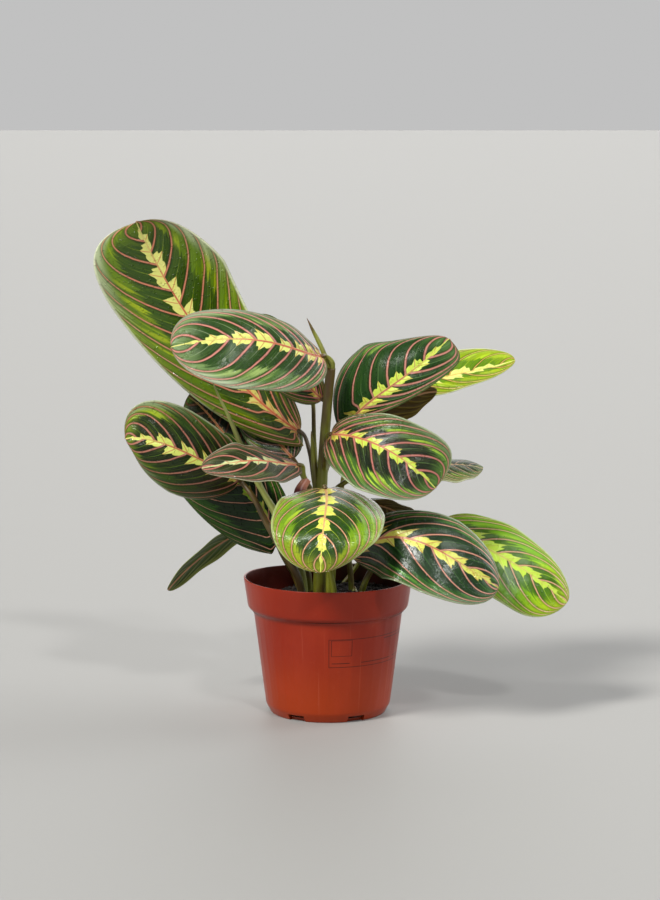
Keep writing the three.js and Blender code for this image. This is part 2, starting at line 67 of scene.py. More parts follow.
LEAVES = {
    "leaf_crown_left": blade(
        (-21, 22, 199), (-77, 30, 249), (-115, 24, 306), (-135, 8, 349), face=(0.05, -1, 0.2),
        half=(46, 44), widest=(0.7, 0.63), full=((1.3, 2.8), (1.3, 1.3)), heart=(12, 0), curl=(-36, 25),
        wave=1.2, veins=(8.9, 0.15, 0.28, 0.74, 1.1, 1.6), look="fresh"),
    "leaf_crown_front": blade(
        (-4, -8, 256), (-23, -28, 263), (-55, -42, 271), (-108, -45, 266), face=(0, -0.95, 0.3),
        half=(38, 26), widest=(0.73, 0.83), full=((2.1, 1.8), (1.3, 3.6)), heart=(1, 5), fold=(0, -10),
        curl=(25, -27), wave=0.8, veins=(7.3, -0.07, 0.22, 0.9, -0.5, -0.4), look="silver"),
    "leaf_crown_back": blade(
        (-4, 12, 223), (-23, 12, 242), (-39, 10, 263), (-50, 6, 284), face=(-0.2, -0.9, 0.3),
        half=(20, 17), curl=(-15, -15), wave=0.8, veins=(7, 0.3, 0.2, 0.95, 0, 0.5), look="dark"),
    "leaf_outer_left": blade(
        (-64, 5, 166), (-82, -12, 179), (-113, -22, 195), (-142, -20, 199), face=(-0.1, -0.9, 0.35),
        half=(34, 29), widest=(0.49, 0.64), full=((1.9, 1.3), (1.3, 3.5)), curl=(-60, 18),
        veins=(6.2, -0.14, 0.34, 0.83, 1, 0.5), look="dark"),
    "leaf_inner_left": blade(
        (-60, 36, 175), (-74, 50, 191), (-88, 60, 207), (-103, 66, 219), face=(0, -0.9, 0.3),
        half=(24, 24), curl=(-15, -15), wave=0.8, look="dark"),
    "leaf_folded_left": blade(
        (-21, -12, 179), (-42, -34, 185), (-58, -48, 187), (-87, -54, 183), face=(0, -0.6, 0.8),
        half=(22, 17), widest=(0.41, 0.57), full=((1.4, 1.3), (1.3, 2.8)), heart=(4, 0), fold=(-10, 10),
        curl=(2, -5), veins=(3.8, -0.08, 0.27, 0.97, 1.8, 1.5), look="silver"),
    "leaf_behind_folded": blade(
        (-25, 20, 179), (-37, 31, 191), (-50, 40, 204), (-61, 46, 216), face=(-0.1, -0.9, 0.3),
        half=(17, 21), curl=(-15, -15), wave=0.8, veins=(6, 0, 0.28, 0.92, 0.5, 0.3), look="dark"),
    "leaf_low_left": blade(
        (-35, 14, 117), (-51, 14, 148), (-75, 15, 178), (-87, 18, 193), face=(-0.1, -0.95, 0.2),
        half=(43, 22), widest=(0.64, 0.45), full=((2.4, 2.3), (2, 2)), heart=(6, 0), curl=(-40, -15),
        veins=(7.8, -0.08, 0.25, 0.89, 1.5, 0.5), look="dark_in_shade"),
    "leaf_drooping_left": blade(
        (-48, 52, 126), (-69, 50, 119), (-94, 44, 103), (-117, 34, 81), face=(-0.35, 0.5, 0.75),
        half=(21, 16), widest=(0.57, 0.59), full=((1.9, 2), (1.9, 2.3)), wave=0.8,
        veins=(6, 0, 0.28, 0.93, 0.5, 0.5), look="fresh"),
    "leaf_front": blade(
        (-2, -15, 163), (-1, -50, 158), (-3, -82, 146), (-5, -92, 117), face=(0, -0.7, 0.7),
        half=(42, 36), widest=(0.38, 0.62), full=((2.1, 2.2), (1.8, 2.6)), heart=(6, 3), curl=(-24, 8),
        veins=(5.5, -0.2, 0.31, 0.95, 1.2, 1.3), look="bright"),
    "leaf_right_front": blade(
        (2, -12, 201), (23, -35, 201), (48, -50, 191), (74, -52, 169), face=(0.1, -0.9, 0.4),
        half=(28, 39), widest=(0.81, 0.58), full=((1.3, 3.2), (1.3, 1.7)), heart=(2, 3), curl=(25, 25),
        veins=(6.2, -0.01, 0.32, 0.87, 0.8, 0.4), look="dark"),
    "leaf_right_upper": blade(
        (16, 8, 208), (33, -5, 226), (55, -12, 243), (85, -5, 268), face=(-0.1, -0.95, 0.2),
        half=(46, 18), widest=(0.41, 0.88), full=((3.3, 1.3), (1.3, 4.5)), heart=(12, 0), curl=(-60, 12),
        veins=(5.9, -0.16, 0.23, 0.96, 1.3, 1.1), look="dark_in_shade", rib=0.5),
    "leaf_right_far": blade(
        (16, 44, 207), (59, 52, 228), (96, 56, 237), (136, 54, 247), face=(0, -0.5, 0.8), half=(31, 16),
        widest=(0.52, 0.57), full=((2, 2), (1.8, 1.7)), curl=(-2, -16), wave=0.8,
        veins=(6.6, 0.11, 0.15, 0.92, 0.9, 1.3), look="young_backlit"),
    "leaf_right_underside": blade(
        (15, 16, 203), (40, 18, 215), (59, 20, 224), (78, 22, 228), face=(0.2, 0.6, 0.75), half=(20, 17),
        widest=(0.45, 0.49), heart=(0, 3), curl=(-21, -20), wave=0.8, veins=(6, 0, 0.28, 0.93, 0.5, 0.5),
        look="dark_in_shade"),
    "leaf_right_small": blade(
        (55, 15, 172), (73, 22, 174), (93, 28, 174), (112, 30, 171), face=(0, -0.22, 1), half=(25, 25),
        wave=0.8, veins=(7, 0.3, 0.2, 0.95, 0, 0.5), look="dark"),
    "leaf_low_right": blade(
        (16, -28, 117), (50, -50, 134), (85, -62, 122), (118, -58, 100), face=(0.1, -0.9, 0.4),
        half=(28, 34), widest=(0.6, 0.58), full=((1.3, 1.5), (3, 1.7)), curl=(-23, 14),
        veins=(5.2, -0.12, 0.34, 0.93, 1.1, 1.4), look="dark"),
    "leaf_outer_right": blade(
        (82, 0, 136), (106, -10, 123), (136, -18, 107), (169, -20, 82), face=(0.2, -0.9, 0.4),
        half=(25, 30), widest=(0.49, 0.68), full=((1.9, 2.1), (2.1, 2.8)), heart=(2, 0), curl=(-15, -4),
        wave=1.2, veins=(6, -0.2, 0.29, 0.93, 0.4, 0.8), look="young_backlit"),
    "leaf_low_right_back": blade(
        (13, 8, 150), (31, 17, 148), (49, 24, 141), (67, 27, 129), face=(0, 0.4, 0.9), half=(26, 26),
        look="dark_in_shade"),
    "leaf_back_right_high": blade(
        (18, 62, 200), (38, 80, 214), (56, 96, 222), (72, 112, 224), face=(0.3, 0.7, 0.7), half=(22, 22),
        widest=(0.55, 0.55), look="fresh"),
    "leaf_back_left_high": blade(
        (-14, 44, 225), (-35, 66, 245), (-55, 84, 258), (-76, 98, 264), face=(-0.3, 0.75, 0.6),
        half=(26, 26), widest=(0.55, 0.55), veins=(9, 0.3, 0.2, 0.95, 0, 0.5), look="dark"),
    "leaf_back_left_low": blade(
        (-25, 56, 130), (-40, 76, 148), (-56, 96, 160), (-72, 114, 166), face=(-0.2, 0.6, 0.8),
        half=(27, 27), widest=(0.55, 0.55), look="dark_in_shade"),
    "leaf_back_right_low": blade(
        (25, 46, 102), (44, 68, 116), (63, 90, 121), (82, 110, 118), face=(0.3, 0.6, 0.75), half=(27, 27),
        widest=(0.55, 0.55), look="young_backlit"),
    "leaf_back_low": blade(
        (0, 48, 112), (2, 76, 126), (4, 102, 130), (6, 126, 122), face=(0, 0.3, 0.95), half=(30, 30),
        widest=(0.55, 0.55), curl=(-25, -25), look="dark"),
}

ROWS = 120  # of a blade, along the midrib
COLUMNS = 56  # of a blade, from margin to margin
TIP_WIDTH = 0.015  # widths at the two ends, as shares of the half width
BASE_WIDTH = 0.07
HEART_FADE = 5  # how fast the lobes at the base die out along the blade
SINUS = 2.2  # mm, beside the midrib, that the lobes leave free for the stalk
LOBE_TURN = 5.8  # mm, the further way out over which a lobe reaches its full length
RIPPLES = 2.6  # waves of the margin along a blade
RIPPLE_SHIFT = 0.35  # of a wave, between the left and the right margin
BLADE = 0.75  # mm, thickness beside the midrib
MARGIN = 0.3  # mm, thickness at the margin
QUILT = 0.55  # mm, rise of the blade between two veins
GROOVE = 0.5  # mm, depth of the groove over the midrib
GROOVE_WIDTH = 1.6  # mm
MIDRIB = 1.25  # mm, radius of the midrib under the blade at its base
MIDRIB_WIDTH = 1.5  # mm
USUAL_HALF = 34  # mm, half width of a blade with the quilting and groove above
GRAIN = (0.02, 0.4)  # least and most veins to a mm


def mix(a, b, share):
    return a + (b - a) * share


def smooth(low, high, value):
    share = np.clip((value - low) / (high - low), 0, 1)
    return share * share * (3 - 2 * share)


def unit(vectors):
    return vectors / np.maximum(np.linalg.norm(vectors, axis=-1, keepdims=True), 1e-12)


def turns(sides):
    return 2 * np.pi * np.arange(sides) / sides


def new_object(name, data):
    made = bpy.data.objects.new(name, data)
    bpy.context.scene.collection.objects.link(made)
    return made


def new_mesh(name, points, faces):
    """A mesh from points in mm."""
    mesh = bpy.data.meshes.new(name)
    mesh.from_pydata((np.array(points, float) * MM).tolist(), [], faces)
    mesh.update()
    return mesh


def add_uv(mesh, name, values):
    """values: two numbers for each corner of each face."""
    layer = mesh.uv_layers.new(name=name)
    layer.data.foreach_set("uv", values.ravel())


def ring_faces(start, rings, sides):
    """The faces between closed rings of points that follow each other from the point start."""
    faces = []
    for ring in range(rings - 1):
        for side in range(sides):
            a = start + ring * sides + side
            b = start + ring * sides + (side + 1) % sides
            faces.append((a, b, b + sides, a + sides))
    return faces


def add_piece(mesh, materials, replaced):
    """A piece of the plant, which stands for one CAD node."""
    piece = new_object(mesh.name, mesh)
    for material in materials:
        mesh.materials.append(material)
    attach(piece, "root")
    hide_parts(replaced)


def midrib_at(points, share):
    """The cubic through four points at 0, 1/3, 2/3 and 1."""
    knots = (0, 1 / 3, 2 / 3, 1)
    total = np.zeros(np.shape(share) + (3,))
    for index, point in enumerate(points):
        weight = np.ones(np.shape(share))
        for other, knot in enumerate(knots):
            if other != index:
                weight = weight * (share - knot) / (knots[index] - knot)
        total = total + weight[..., None] * np.array(point, float)
    return total


def midrib_way(points, share):
    step = 1e-3
    return unit(midrib_at(points, share + step) - midrib_at(points, share - step))


def blade_width(share, widest, full):
    """The half width as a share of its greatest: two superellipse arcs that meet at the widest place."""
    toward_base = np.clip((widest - share) / widest, 0, 1) ** full[0]
    toward_tip = np.clip((share - widest) / (1 - widest), 0, 1) ** full[1]
    body = np.sqrt(1 - np.where(share < widest, toward_base, toward_tip))
    return np.hypot(body, BASE_WIDTH + (TIP_WIDTH - BASE_WIDTH) * share)


def vein_number(leaf, share, across):
    """Counts along the blade: a whole number on each main vein."""
    pairs, gather, sweep, hook, left_shift, right_shift = leaf["veins"]
    start = share + sweep * np.log(1 - hook * np.abs(across))
    spread = start + gather * np.where(start > 0, start - start ** 2, start)
    return pairs * spread + np.where(across > 0, right_shift, left_shift)


def blade_surface(leaf, share, across):
    """Points of the blade's middle surface in mm, and how far each lies from the midrib."""
    right_side = across >= 0
    direction = midrib_way(leaf["midrib"], share)
    right = unit(np.cross(direction, np.array(leaf["face"], float)))
    up = np.cross(right, direction)
    widths = [leaf["half"][side] * blade_width(share, leaf["widest"][side], leaf["full"][side])
              for side in (0, 1)]
    width = np.where(right_side, widths[1], widths[0])
    fold = np.radians(np.where(right_side, leaf["fold"][1], leaf["fold"][0]))
    curl = np.radians(np.where(right_side, leaf["curl"][1], leaf["curl"][0]))
    out = np.abs(across)
    level = (np.sin(fold + curl * out) - np.sin(fold)) / curl
    rise = (np.cos(fold) - np.cos(fold + curl * out)) / curl
    phase = np.where(right_side, RIPPLE_SHIFT, 0.0)
    ripple = leaf["wave"] * out ** 2 * np.sin(np.pi * share) * np.sin(2 * np.pi * (RIPPLES * share + phase))
    lobe = np.where(right_side, leaf["heart"][1], leaf["heart"][0]) * (1 - share) ** HEART_FADE
    lobe = lobe * smooth(SINUS, SINUS + LOBE_TURN, width * out)
    point = midrib_at(leaf["midrib"], share) - direction * lobe[..., None]
    sideways, upward = np.sign(across) * width * level, width * rise + ripple
    return point + right * sideways[..., None] + up * upward[..., None], width * out


def veins_per_mm(grid, number, row, column):
    """How fast the vein number changes over the surface, for one half of a blade."""
    ahead = np.gradient(grid, row, axis=0)
    beside = np.gradient(grid, column, axis=1)
    number_ahead = np.gradient(number, row, axis=0)
    number_beside = np.gradient(number, column, axis=1)
    ahead_sq = (ahead * ahead).sum(-1)
    beside_sq = (beside * beside).sum(-1)
    mixed = (ahead * beside).sum(-1)
    area = np.maximum(ahead_sq * beside_sq - mixed ** 2, 1e-3)
    rate = (beside_sq * number_ahead ** 2 - 2 * mixed * number_ahead * number_beside
            + ahead_sq * number_beside ** 2)
    return np.clip(np.sqrt(np.maximum(rate, 0) / area), *GRAIN)


def blade_mesh(name, leaf):
    """The blade as a closed mesh: faces of the upper side carry material 0, and the rest carry material 1."""
    row = (1 - np.cos(np.pi * np.arange(ROWS + 1) / ROWS)) / 2
    column = np.linspace(-1, 1, COLUMNS + 1)
    middle_column = COLUMNS // 2
    share, across = np.meshgrid(row, column, indexing="ij")
    grid, from_midrib = blade_surface(leaf, share, across)
    normal = unit(np.cross(np.gradient(grid, axis=1), np.gradient(grid, axis=0)))
    number = vein_number(leaf, share, across)
    number_right = vein_number(leaf, row, np.full(row.shape, 1e-6))
    left, right = slice(0, middle_column + 1), slice(middle_column, COLUMNS + 1)
    right_half = number[:, right].copy()
    right_half[:, 0] = number_right
    density = np.concatenate([
        veins_per_mm(grid[:, left], number[:, left], row, column[left]),
        veins_per_mm(grid[:, right], right_half, row, column[right])[:, 1:]], 1)

    out = np.abs(across)
    reach = smooth(0.02, 0.25, out) * (1 - smooth(0.7, 1, out))
    reach = reach * smooth(0, 0.12, share) * (1 - smooth(0.85, 1, share))
    scale = min(leaf["half"][0] / USUAL_HALF, 1.2)
    quilt = QUILT * scale * reach * (0.5 - 0.5 * np.cos(2 * np.pi * number)) ** 0.7
    groove = -GROOVE * scale * np.exp(-(from_midrib / GROOVE_WIDTH) ** 2)
    middle = grid + normal * (quilt + groove)[..., None]
    thickness = mix(BLADE, MARGIN, smooth(0.3, 1, out))
    upper = middle + normal * (thickness / 2)[..., None]
    rib_width = MIDRIB_WIDTH * (1 - 0.7 * share)
    rib = leaf.get("rib", MIDRIB) * (1 - 0.8 * share) * np.exp(-(from_midrib / rib_width) ** 2)
    under = middle - normal * (thickness / 2 + rib)[..., None]

    # Faces of the upper side, the under side, and the margin, which joins the two all round.
    stride = COLUMNS + 1
    lower = (ROWS + 1) * stride
    first = (np.arange(ROWS)[:, None] * stride + np.arange(COLUMNS)[None, :]).ravel()
    top = np.stack([first, first + 1, first + stride + 1, first + stride], 1)
    bottom = top[:, ::-1] + lower
    border = list(range(COLUMNS)) + [index * stride + COLUMNS for index in range(ROWS)]
    border += [ROWS * stride + index for index in range(COLUMNS, 0, -1)]
    border += [index * stride for index in range(ROWS, 0, -1)]
    border = np.array(border)
    following = np.roll(border, -1)
    rim = np.stack([border, border + lower, following + lower, following], 1)
    faces = np.concatenate([top, bottom, rim])
    mesh = new_mesh(name, np.concatenate([upper.reshape(-1, 3), under.reshape(-1, 3)]), faces.tolist())
    mesh.polygons.foreach_set("material_index", (np.arange(len(faces)) >= len(top)).astype(np.int32))

    # The midrib's points belong to both halves, so faces of the right half take its own vein number there.
    corner = faces.ravel()
    at_row, at_column = (corner % lower) // stride, corner % stride
    right_face = np.concatenate([np.tile(first % stride >= middle_column, 2), np.zeros(len(rim), bool)])
    seam = (at_column == middle_column) & np.repeat(right_face, 4)
    count = np.where(seam, number_right[at_row], number[at_row, at_column])
    add_uv(mesh, "LeafPlace", np.stack([row[at_row], (column[at_column] + 1) / 2], 1))
    add_uv(mesh, "LeafSpread", np.stack([from_midrib[at_row, at_column], count], 1))
    add_uv(mesh, "LeafGrain", np.stack([density[at_row, at_column], np.zeros(len(corner))], 1))
    mesh.polygons.foreach_set("use_smooth", np.ones(len(faces), bool))
    mesh.update()
    return mesh


# ---------------------------------------------------------------- shader helpers
def rgb(code):
    """A linear colour from an sRGB code such as 0x93402c."""
    channels = [(code >> shift & 255) / 255 for shift in (16, 8, 0)]
    return tuple(c / 12.92 if c <= 0.04045 else ((c + 0.055) / 1.055) ** 2.4 for c in channels) + (1.0,)


class Value:
    """A node's output that takes part in plain arithmetic with other outputs and with numbers."""

    def __init__(self, graph, socket):
        self.graph = graph
        self.socket = socket

    def __abs__(self):
        return self.graph.math("ABSOLUTE", self)


def add_operator(name, operation):
    setattr(Value, "__" + name + "__", lambda self, other: self.graph.math(operation, self, other))
    setattr(Value, "__r" + name + "__", lambda self, other: self.graph.math(operation, other, self))


for names in (("add", "ADD"), ("sub", "SUBTRACT"), ("mul", "MULTIPLY"), ("truediv", "DIVIDE")):
    add_operator(*names)


class Graph:
    """The node tree of a material or a world. An input is a number, a Value or, for a colour, a code."""

    def __init__(self, name, kind=bpy.data.materials):
        self.owner = kind.new(name)
        self.owner.use_nodes = True
        self.tree = self.owner.node_tree
        self.tree.nodes.clear()

    def put(self, socket, value):
        if isinstance(value, Value):
            self.tree.links.new(value.socket, socket)
        else:
            socket.default_value = rgb(value) if socket.type == "RGBA" else value

    def node(self, kind, values=None, **settings):
        made = self.tree.nodes.new("ShaderNode" + kind)
        for key, value in settings.items():
            setattr(made, key, value)
        for key, value in (values or {}).items():
            self.put(made.inputs[key], value)
        return made

    def out(self, made, key=0):
        return Value(self, made.outputs[key])

    def value(self, kind, values, key=0, **settings):
        return self.out(self.node(kind, values, **settings), key)

    def math(self, operation, *values):
        return self.value("Math", dict(enumerate(values)), operation=operation)

    def most(self, a, b):
        return self.math("MAXIMUM", a, b)

    def smooth(self, low, high, value):
        """0 up to low and 1 from high on."""
        return self.value("MapRange", {"Value": value, "From Min": low, "From Max": high},
                          interpolation_type="SMOOTHSTEP", clamp=True)

    def between(self, a, b, share):
        return self.value("Mix", {0: share, 2: a, 3: b}, data_type="FLOAT")

    def blend(self, a, b, share):
        return self.value("Mix", {0: share, 6: a, 7: b}, 2, data_type="RGBA")

    def split(self, vector):
        parts = self.node("SeparateXYZ", {0: vector})
        return [self.out(parts, index) for index in range(3)]

    def uv(self, name):
        return self.split(self.value("UVMap", {}, uv_map=name))[:2]

    def place(self, kind="Object"):
        return self.value("TexCoord", {}, kind)

    def noise(self, place, scale, detail=3.0, roughness=0.5):
        values = {"Vector": place, "Scale": scale, "Detail": detail, "Roughness": roughness}
        return self.value("TexNoise", values, "Fac")

    def noise_at(self, x, y, z, detail=3.0, roughness=0.5):
        return self.noise(self.value("CombineXYZ", {0: x, 1: y, 2: z}), 1.0, detail, roughness)

    def bump(self, height, distance, strength):
        return self.value("Bump", {"Strength": strength, "Distance": distance, "Height": height}, "Normal")

    def finish(self, **values):
        """The surface: the keywords are the shader's inputs, with _ for a space."""
        values = {key.replace("_", " "): value for key, value in values.items()}
        self.node("OutputMaterial", {0: self.value("BsdfPrincipled", values)})
        return self.owner


# ---------------------------------------------------------------- leaf materials
# COLOURS, in the order of a palette:
#   blotch: the dark patch between two veins; field: the green beyond it; glow: the yellow-green streaks at
#   its end; edge: the margin; tip: the last third; feather: the pale pattern beside the midrib;
#   vein and vein_end: the main veins near the midrib and at the margin; rib: the midrib
# blotch_reach: how far out the dark patches go; glow_from: where along the blade the streaks start
# lobe: size of the feather's lobes, and lobe_base: its share at the blade's base
# vein_size: half width of the main veins in mm
# rim: how bright the painted highlight along the margin is; frost: a painted pale glare beside it; wet: the
# gloss
# shade: painted shade, a dark brown tint at the blade's base, which ends at shade_to
COLOURS = ("blotch", "field", "glow", "edge", "tip", "feather", "vein", "vein_end", "rib")
COMMON = dict(glow_from=0.0, rim=0.0, wet=0.35, shade=0.0, shade_to=0.32, frost=0.0, lobe_base=0.85)


def palette(*colours, **rest):
    return {**dict(zip(COLOURS, colours)), **rest}


LOOKS = {
    "fresh": palette(
        0x2e4c02, 0x5a7a02, 0x98aa10, 0x849a1e, 0x76940c, 0xe4e47c, 0xcf8464, 0xc89a70, 0xc8603c,
        blotch_reach=0.5, lobe=0.74, vein_size=0.85),
    "silver": palette(
        0x20400a, 0x486a28, 0x94ac60, 0x8a9c70, 0x7e985e, 0xdee478, 0xc68474, 0xbe907c, 0xc46244,
        blotch_reach=0.6, lobe=0.66, vein_size=0.95),
    "dark": palette(
        0x0e2004, 0x30560c, 0x92b020, 0x547c30, 0x5e8420, 0xc2d444, 0xb47062, 0xa8805c, 0xb0603c,
        blotch_reach=0.62, lobe=0.62, vein_size=0.8),
    # A dimmed copy of the dark look: painted shade for leaves low down and behind others.
    "dark_in_shade": palette(
        0x0c2402, 0x224c04, 0x4a7c12, 0x3c6010, 0x3c6010, 0x8cae30, 0xb8866e, 0xa8966c, 0xa86848,
        blotch_reach=0.66, lobe=0.5, vein_size=0.5),
    "bright": palette(
        0x204404, 0x6c960e, 0xa8c42c, 0xa8c030, 0xa8ac04, 0xdcea5c, 0xd8a478, 0xd08c74, 0xdca668,
        blotch_reach=0.52, lobe=0.46, vein_size=0.6, wet=0.8),
    # Partly the light green of young leaves, partly painted light shining through them from behind.
    "young_backlit": palette(
        0x5c820c, 0x86a00c, 0xa8c828, 0xb0c030, 0xa8c020, 0xdce87c, 0xc8a454, 0xd8c870, 0xd0b054,
        blotch_reach=0.42, lobe=0.62, vein_size=0.6, rim=0.6, wet=0.2),
}
# What single leaves change in their palette.
TINTS = {
    "leaf_crown_left": dict(rim=0.8, frost=0.55, lobe_base=0.4, shade=0.35, wet=0.7),
    "leaf_crown_front": dict(lobe_base=1.0, frost=0.5),
    # Painted shadow: darkened colours where the crown's left leaf shades this one.
    "leaf_inner_left": palette(
        0x141a04, 0x1e280a, 0x2a360e, 0x26300e, 0x5e8420, 0x4e5a1c, 0x4c3820, 0x403420, lobe=0.3, wet=0.1),
    "leaf_behind_folded": dict(
        blotch=0x182a10, field=0x28401c, feather=0x6c7c40, lobe=0.3, vein=0xb08878, vein_end=0xa89080,
        vein_size=0.55),
    "leaf_outer_left": palette(
        0x0e2004, 0x2c480a, 0x9cb024, 0x5c7c1c, 0x84a01c, 0xccd666, 0xac7460, 0xa0764c, lobe=0.86,
        lobe_base=0.6, glow_from=0.72, frost=0.3, rim=0.35, blotch_reach=0.6, shade=0.75, shade_to=0.62),
    "leaf_folded_left": palette(
        0x2a3214, 0x404a28, 0x6c7848, 0x646048, 0x5e6a40, 0xc4d494, 0xb47464, 0xa07864, lobe=0.3,
        vein_size=0.85, rim=0.4, shade=0.4),
    "leaf_low_left": dict(glow=0x3c6a0c, wet=0.25),
    "leaf_right_upper": palette(
        0x1a3a10, 0x345a20, 0x74943c, 0x56783e, 0x507438, 0xc4d852, 0xb47c6c, 0xa87a68, glow_from=0.2,
        lobe=0.62, vein_size=0.95, blotch_reach=0.75, wet=0.08, lobe_base=0.95),
    "leaf_right_front": palette(
        0x0e1a08, 0x365a1e, 0xa6c63c, 0x5c8040, 0x5c8436, 0xbcd24c, 0xb07064, 0xa88068, lobe=0.62,
        vein_size=0.85, wet=0.5, rim=0.3, shade=0.75, shade_to=0.42, frost=0.15, blotch_reach=0.54),
    "leaf_right_small": palette(
        0x26380c, 0x4a6220, 0x8c9c4c, 0x98a068, 0x64783a, 0xb4ba74, 0xa08a5c, 0xb0a070, lobe=0.4,
        vein_size=0.6, wet=0.25, rim=0.5),
    "leaf_front": dict(shade=0.7, rim=0.25, lobe=0.62, lobe_base=1.0),
    "leaf_low_right": palette(
        0x0a2a0a, 0x20500e, 0x4c8424, 0x46722a, 0x3e6a26, 0xccd058, 0xc08870, 0xb48a70, lobe=0.5,
        vein_size=0.7, blotch_reach=0.7, rim=0.3, wet=0.75, shade=0.2, frost=0.15),
    "leaf_outer_right": palette(
        0x406c06, 0x74b00c, 0x9cca1c, 0xa4c830, 0xb4c80a, 0xb8d840, 0xd0a478, 0xd8c080, 0xb8c048, lobe=0.66,
        vein_size=0.65, rim=0.4, blotch_reach=0.42, wet=0.6),
}


def leaf_places(g):
    """share, beside, distance in mm from the midrib, vein number, veins per mm, and out: 1 at the margin."""
    share, beside = g.uv("LeafPlace")
    distance, number = g.uv("LeafSpread")
    return share, beside, distance, number, g.uv("LeafGrain")[0], abs(beside * 2 - 1)


def to_main_vein(g, number, density):
    return abs(g.math("WRAP", number, 0.5, -0.5)) / density


def leaf_upper(name, look, spacing, seed):
    """The upper side: spacing is the distance in mm between two main veins at the midrib."""
    g = Graph(name)
    share, beside, distance, plain_number, density, out = leaf_places(g)
    wander = g.noise_at(share * 9, beside * 4, seed, 2) - 0.5
    number = plain_number + wander * 0.12
    to_vein = to_main_vein(g, number, density)
    between_veins = g.math("FRACT", number)
    to_second = abs(between_veins - 0.5) / density
    side = g.math("GREATER_THAN", beside, 0.5) * 17.3
    chance = g.noise_at(g.math("FLOOR", number) * 7.7, side, seed + 0.5, 0) - 0.5
    streak = g.noise_at(number * 7, out * 2.2, side + seed, 3, 0.6)
    band = g.noise_at(number * 3.1, out * 1.3, side + (seed + 9), 1)
    fine = g.noise_at(number * 34, out * 3, seed, 2)

    # The pale lobes: they start along each main vein, swell to a point and end short of the next vein.
    shrink = 1 - g.smooth(0.45, 1, share) * 0.7
    shrink = shrink * (1 - g.smooth(0.9, 0.975, share))
    shrink = shrink * g.between(look["lobe_base"], 1, g.smooth(0.08, 0.42, share))
    full = shrink * (spacing * 0.46 * look["lobe"])
    swell = 0.66 + g.math("SINE", between_veins * math.pi) * 0.4
    lobes = (abs(g.math("SINE", between_veins * (3 * math.pi))) - 0.6) * 0.26
    spike = g.most(1 - abs(between_veins - 0.5) / 0.1, 0) * 0.4
    drop = 0.82 + chance * 0.4
    ends = 1 - g.smooth(drop - 0.16, drop + 0.05, between_veins)
    reach = (swell + lobes + spike) * ends * full
    reach = reach * (1 + (chance * 1.1 + wander * 0.7))
    feather = 1 - g.smooth(reach - 0.3, reach + 0.3, distance)
    feather = feather * g.smooth(0.3, 0.8, reach)

    # The dark patches with ragged ends, the bright dashes past them and the streaked field.
    past = out - (look["blotch_reach"] + (streak - 0.5) * 0.5 + chance * 0.3)
    blotch = (1 - g.smooth(-0.04, 0.045, past)) * (1 - g.smooth(0.86, 0.98, share) * 0.8)
    glow = g.smooth(-0.01, 0.06, past) * (1 - g.smooth(0.12, 0.38, past))
    glow_along = g.smooth(look["glow_from"] - 0.1, look["glow_from"] + 0.1, share)
    glow = glow * (g.smooth(0.48, 0.62, band) * glow_along)
    edge = g.smooth(0.78, 1, out + (streak - 0.5) * 0.26)
    colour = g.blend(look["field"], look["glow"], glow)
    colour = g.blend(colour, look["tip"], g.smooth(0.7, 1, share) * 0.7)
    colour = g.blend(colour, look["edge"], edge * 0.85)
    colour = g.blend(colour, look["blotch"], blotch)
    # Painted shade: a dark brown tint toward the blade's base.
    colour = g.blend(colour, 0x2e2208, (1 - g.smooth(0.05, look["shade_to"], share)) * look["shade"])
    # Painted glare: a pale sheen beside the margin toward the tip.
    frost = g.smooth(0.7, 0.96, out) * g.smooth(0.5, 0.85, share + (streak - 0.5) * 0.5)
    colour = g.blend(colour, 0xd4dcc2, frost * look["frost"])
    mottle = fine + streak * 0.6 - 0.8
    colour = g.blend(colour, look["glow"], g.most(mottle, 0) * 0.6)
    colour = g.blend(colour, 0x0a1402, g.most(mottle * -1, 0) * 0.9)
    second_line = 1 - g.smooth(0.1, 0.36, to_second)
    past_lobe = 1 - g.smooth(reach + 2, reach + 14, distance)
    colour = g.blend(colour, look["edge"], second_line * past_lobe * 0.6)

    # Painted shade along each main vein, and the feather with its thin second vein.
    vein_size = g.between(1, 0.6, out) * look["vein_size"]
    # Painted shade: a dark band either side of each main vein.
    vein_groove_shade = 1 - g.smooth(vein_size, vein_size + 1.7, to_vein)
    colour = g.blend(colour, 0x141002, vein_groove_shade * 0.45)
    warm = (1 - g.smooth(0.08, 0.4, share)) * 0.4
    bloom = g.blend(look["feather"], 0xc08820, warm)
    bloom = g.blend(bloom, 0xf4f6b0, g.most(streak - 0.5, 0) * 1.2)
    colour = g.blend(colour, bloom, feather)
    second_in = (1 - g.smooth(0.16, 0.5, to_second)) * feather
    colour = g.blend(colour, look["rib"], second_in * (g.smooth(0.1, 1.2, distance) * 0.7))

    # The main veins, the midrib and a painted highlight along the margin.
    vein = 1 - g.smooth(vein_size * 0.72, vein_size * 1.15, to_vein)
    vein = vein * (1 - g.smooth(0.9, 0.985, out))
    core = 1 - g.smooth(vein_size * 0.15, vein_size * 0.95, to_vein)
    vein_colour = g.blend(look["vein"], look["vein_end"], g.smooth(0.4, 0.95, out))
    vein_colour = g.blend(g.blend(vein_colour, 0x6a2414, 0.62), vein_colour, core)
    colour = g.blend(colour, vein_colour, vein)
    rib_size = g.between(1.1, 0.4, share)
    rib = 1 - g.smooth(rib_size * 0.7, rib_size * 1.15, distance)
    rib_core = 1 - g.smooth(0, rib_size * 0.9, distance)
    rib_colour = g.blend(look["rib"], look["feather"], g.smooth(0.6, 0.95, share))
    rib_colour = g.blend(rib_colour, 0xe8c088, (1 - rib_core) * 0.4)
    colour = g.blend(colour, rib_colour, rib)
    # Painted highlight: a pale line along the margin.
    margin_highlight = g.smooth(0.945, 0.985, out) * g.smooth(0.3, 0.6, share + streak * 0.3)
    colour = g.blend(colour, 0xe6ecc8, margin_highlight * look["rim"])

